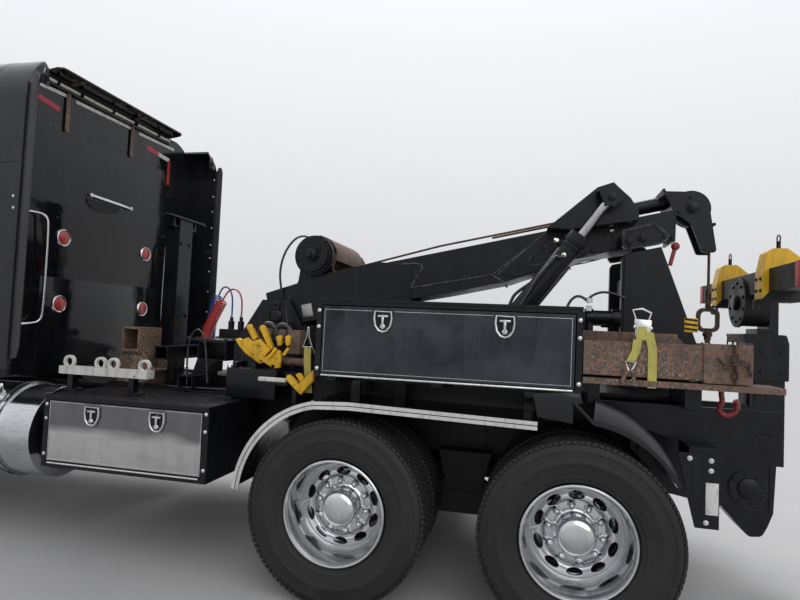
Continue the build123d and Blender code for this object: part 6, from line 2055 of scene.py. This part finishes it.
def cab_inside():
    """The seat cushions and the bunk's mattress, over their plain bases, and the dashboard's dials."""
    for side, word in SIDES:
        y0, y1 = sorted((side * 0.285, side * 0.755))
        soft_block("seat_" + word, spot(5.255, y0, 1.45), spot(5.74, y1, 1.565), (0.012, 0.012, 0.03))
        soft_block("seat_back_" + word, spot(5.205, y0, 1.58), spot(5.305, y1, 2.17), (0.03, 0.014, 0.014))
    soft_block("bunk_mattress", spot(3.30, -1.14, 1.72), spot(4.19, 1.14, 1.86), (0.02, 0.02, 0.03))
    dials, rims = Work(), Work()
    for y, r in ((0.62, 0.05), (0.50, 0.05), (0.38, 0.03), (0.30, 0.03), (0.22, 0.03)):
        dials.turned([(r, 0), (r, 0.004), (0, 0.004)], spot(5.982, y, 1.66), -X, 24)
        rims.tube(hoop(spot(5.977, y, 1.66), Y, Z, r, 24), 0.004, 6, closed=True)
    dials.done("dash_dials", "clear_lens")
    rims.done("dash_dial_rims", "chrome")


def stack_trim():
    """Dark slot marks on the muffler shields, painted shade in place of open slots, and clamps round the
    stacks.
    """
    for side, word in SIDES:
        centre = spot(5.04, side * 1.15, 0)
        # Painted shade: each slot is a thin dark plate on the shield, not a hole, and its darkness stands in
        # for the shade inside.
        slot = Work().slab((-0.006, -0.016, 0.0), (0.006, 0.016, 0.0015), 0.0005)
        spots = []
        for ring in range(15):
            for k in range(20):
                turn = 2 * pi * (k + 0.5 * (ring % 2) + 0.13) / 20
                out = Vector((cos(turn), sin(turn), 0))
                spots.append((centre + out * 0.088 + Z * (1.62 + 0.054 * ring), out, 1.0, 0.0))
        scatter("stack_slots_" + word, slot, spots, "chassis_black")
        clamps = Work()
        for z in (2.50, 1.52):
            clamps.tube(hoop(centre + Z * z, X, Y, 0.064, 32), 0.007, 8, closed=True)
        clamps.done("stack_clamps_" + word, "trim_steel")


def tank_trim():
    """Strap bolts, filler caps and strap liners on the fuel tanks."""
    work, rubber, bolts = Work(), Work(), []
    for side in (1, -1):
        work.turned([(0.056, 0), (0.058, 0.02), (0.050, 0.03), (0, 0.032)], spot(3.15, side * 1.09, 1.04),
                    Vector((0, side * 0.6, 0.8)), 16)
        for x in (3.03, 3.83, 4.63):
            for step in (-0.022, 0.022):
                liner = hoop(spot(x + step, side * 0.88, 0.76), Y * side, Z, 0.320, 40)
                rubber.tube(liner, 0.005, 6, closed=True)
            bolts.append((spot(x, side * 1.16, 0.93), Vector((0, side * 0.85, 0.53)).normalized(), 1.2, 0.0))
    work.done("tank_caps", "chrome")
    rubber.done("tank_strap_liners", "black_rubber")
    scatter("tank_bolts", bolt_unit(0.013, 0.014), bolts, "trim_steel")


def chassis_trim():
    """Bolt rows on the rails, spring clips, air tanks and the lines along the frame."""
    bolts, clips, lines, tanks = [], Work(), Work(), Work()
    tank = [(0.0, 0), (0.08, 0.01), (0.12, 0.04), (0.12, 0.56), (0.08, 0.59), (0, 0.60)]
    branch = ((0.0, 0.51, 0.70), (0.0, 0.50, 0.80), (-0.05, 0.40, 0.90), (-0.10, 0.30, 0.98),
              (-0.3, 0.20, 0.96))
    for side in (1, -1):
        face = side * 0.425
        for x in (-1.37, -0.12, 0.93, 2.33, 3.93, 5.18, 6.67, 8.02):
            bolts += facing([spot(x, face, z) for z in (0.83, 0.91, 0.99)], Y * side, 1.0, 0.2)
        single = (1.2, 1.8, 2.9, 3.4, 4.4, 5.6, 6.2, 7.2, 7.6)
        bolts += facing([spot(x, face, 0.99) for x in single], Y * side, 0.9, 0.2)
        for x in (STEER_X - 0.09, STEER_X + 0.09):
            for y in (0.352, 0.448):
                clips.tube([spot(x, side * y, 0.60), spot(x, side * y, 0.36)], 0.012, 8)
        for _, x in DRIVE_X:
            lines.tube(smooth_line([spot(x + 0.095 + u, side * y, z) for u, y, z in branch]), 0.009, 8)
        for y, z, radius in ((0.405, 0.93, 0.010), (0.400, 0.90, 0.007)):
            lines.tube([spot(-1.2, side * y, z), spot(6.5, side * y, z)], radius, 8)
    for x in (1.55, 2.60):
        tanks.turned(tank, spot(x, 0.0, 0.86), X, 28)
    scatter("rail_bolts", bolt_unit(0.014, 0.014), bolts, "chassis_black")
    clips.done("spring_clips", "chassis_black")
    lines.done("frame_lines", "black_rubber")
    tanks.done("air_tanks", "chassis_black")


# The whole truck

paint_nodes()
repaint("crossbar", "yellow_paint",
        lambda p: 0.375 < abs(p.y) < 0.505 and (p.z > 2.03 or p.z > 1.87 and p.x > -5.02))
repaint("spreader_bracket", "wrecker_black", lambda p: p.z < 1.160)
repaint("side_beams", "wrecker_black", lambda p: p.z < 1.337)
repaint("winch", "rusty_steel", lambda p: abs(p.y) < 0.325)
set_camera()
floor()
light()
air_hose("air_hose_red", RED_ROUTE, RED_LEAD, -0.100, "red_hose")
air_hose("air_hose_blue", BLUE_ROUTE, BLUE_LEAD, -0.215, "blue_hose")
for make in (
        wheels, sleeper_body, fairings, tapes, lip_lights, wall_rivets, stop_lamps, wall_handle,
        wall_grab_tubes, extender_trim, sleeper_trim, boom_fixings, boom_box_trim, boom_tip_trim, rope_runs,
        winch_trim, lift_trim, slim_rods, ram_hose, stick_lights, mast_trim, latch_trim, box_fixings,
        box_tops, fender_trim, flap_trim, tow_forks, beam_gear, deck_gear, cradle_strip, underlift_trim,
        crossbar_trim, hook_trim, hood_lamps, hood_fittings, bumper_fittings, cab_fittings, door_fittings,
        cab_inside, stack_trim, tank_trim, chassis_trim):
    make()

bpy.context.scene.view_settings.view_transform = "Standard"
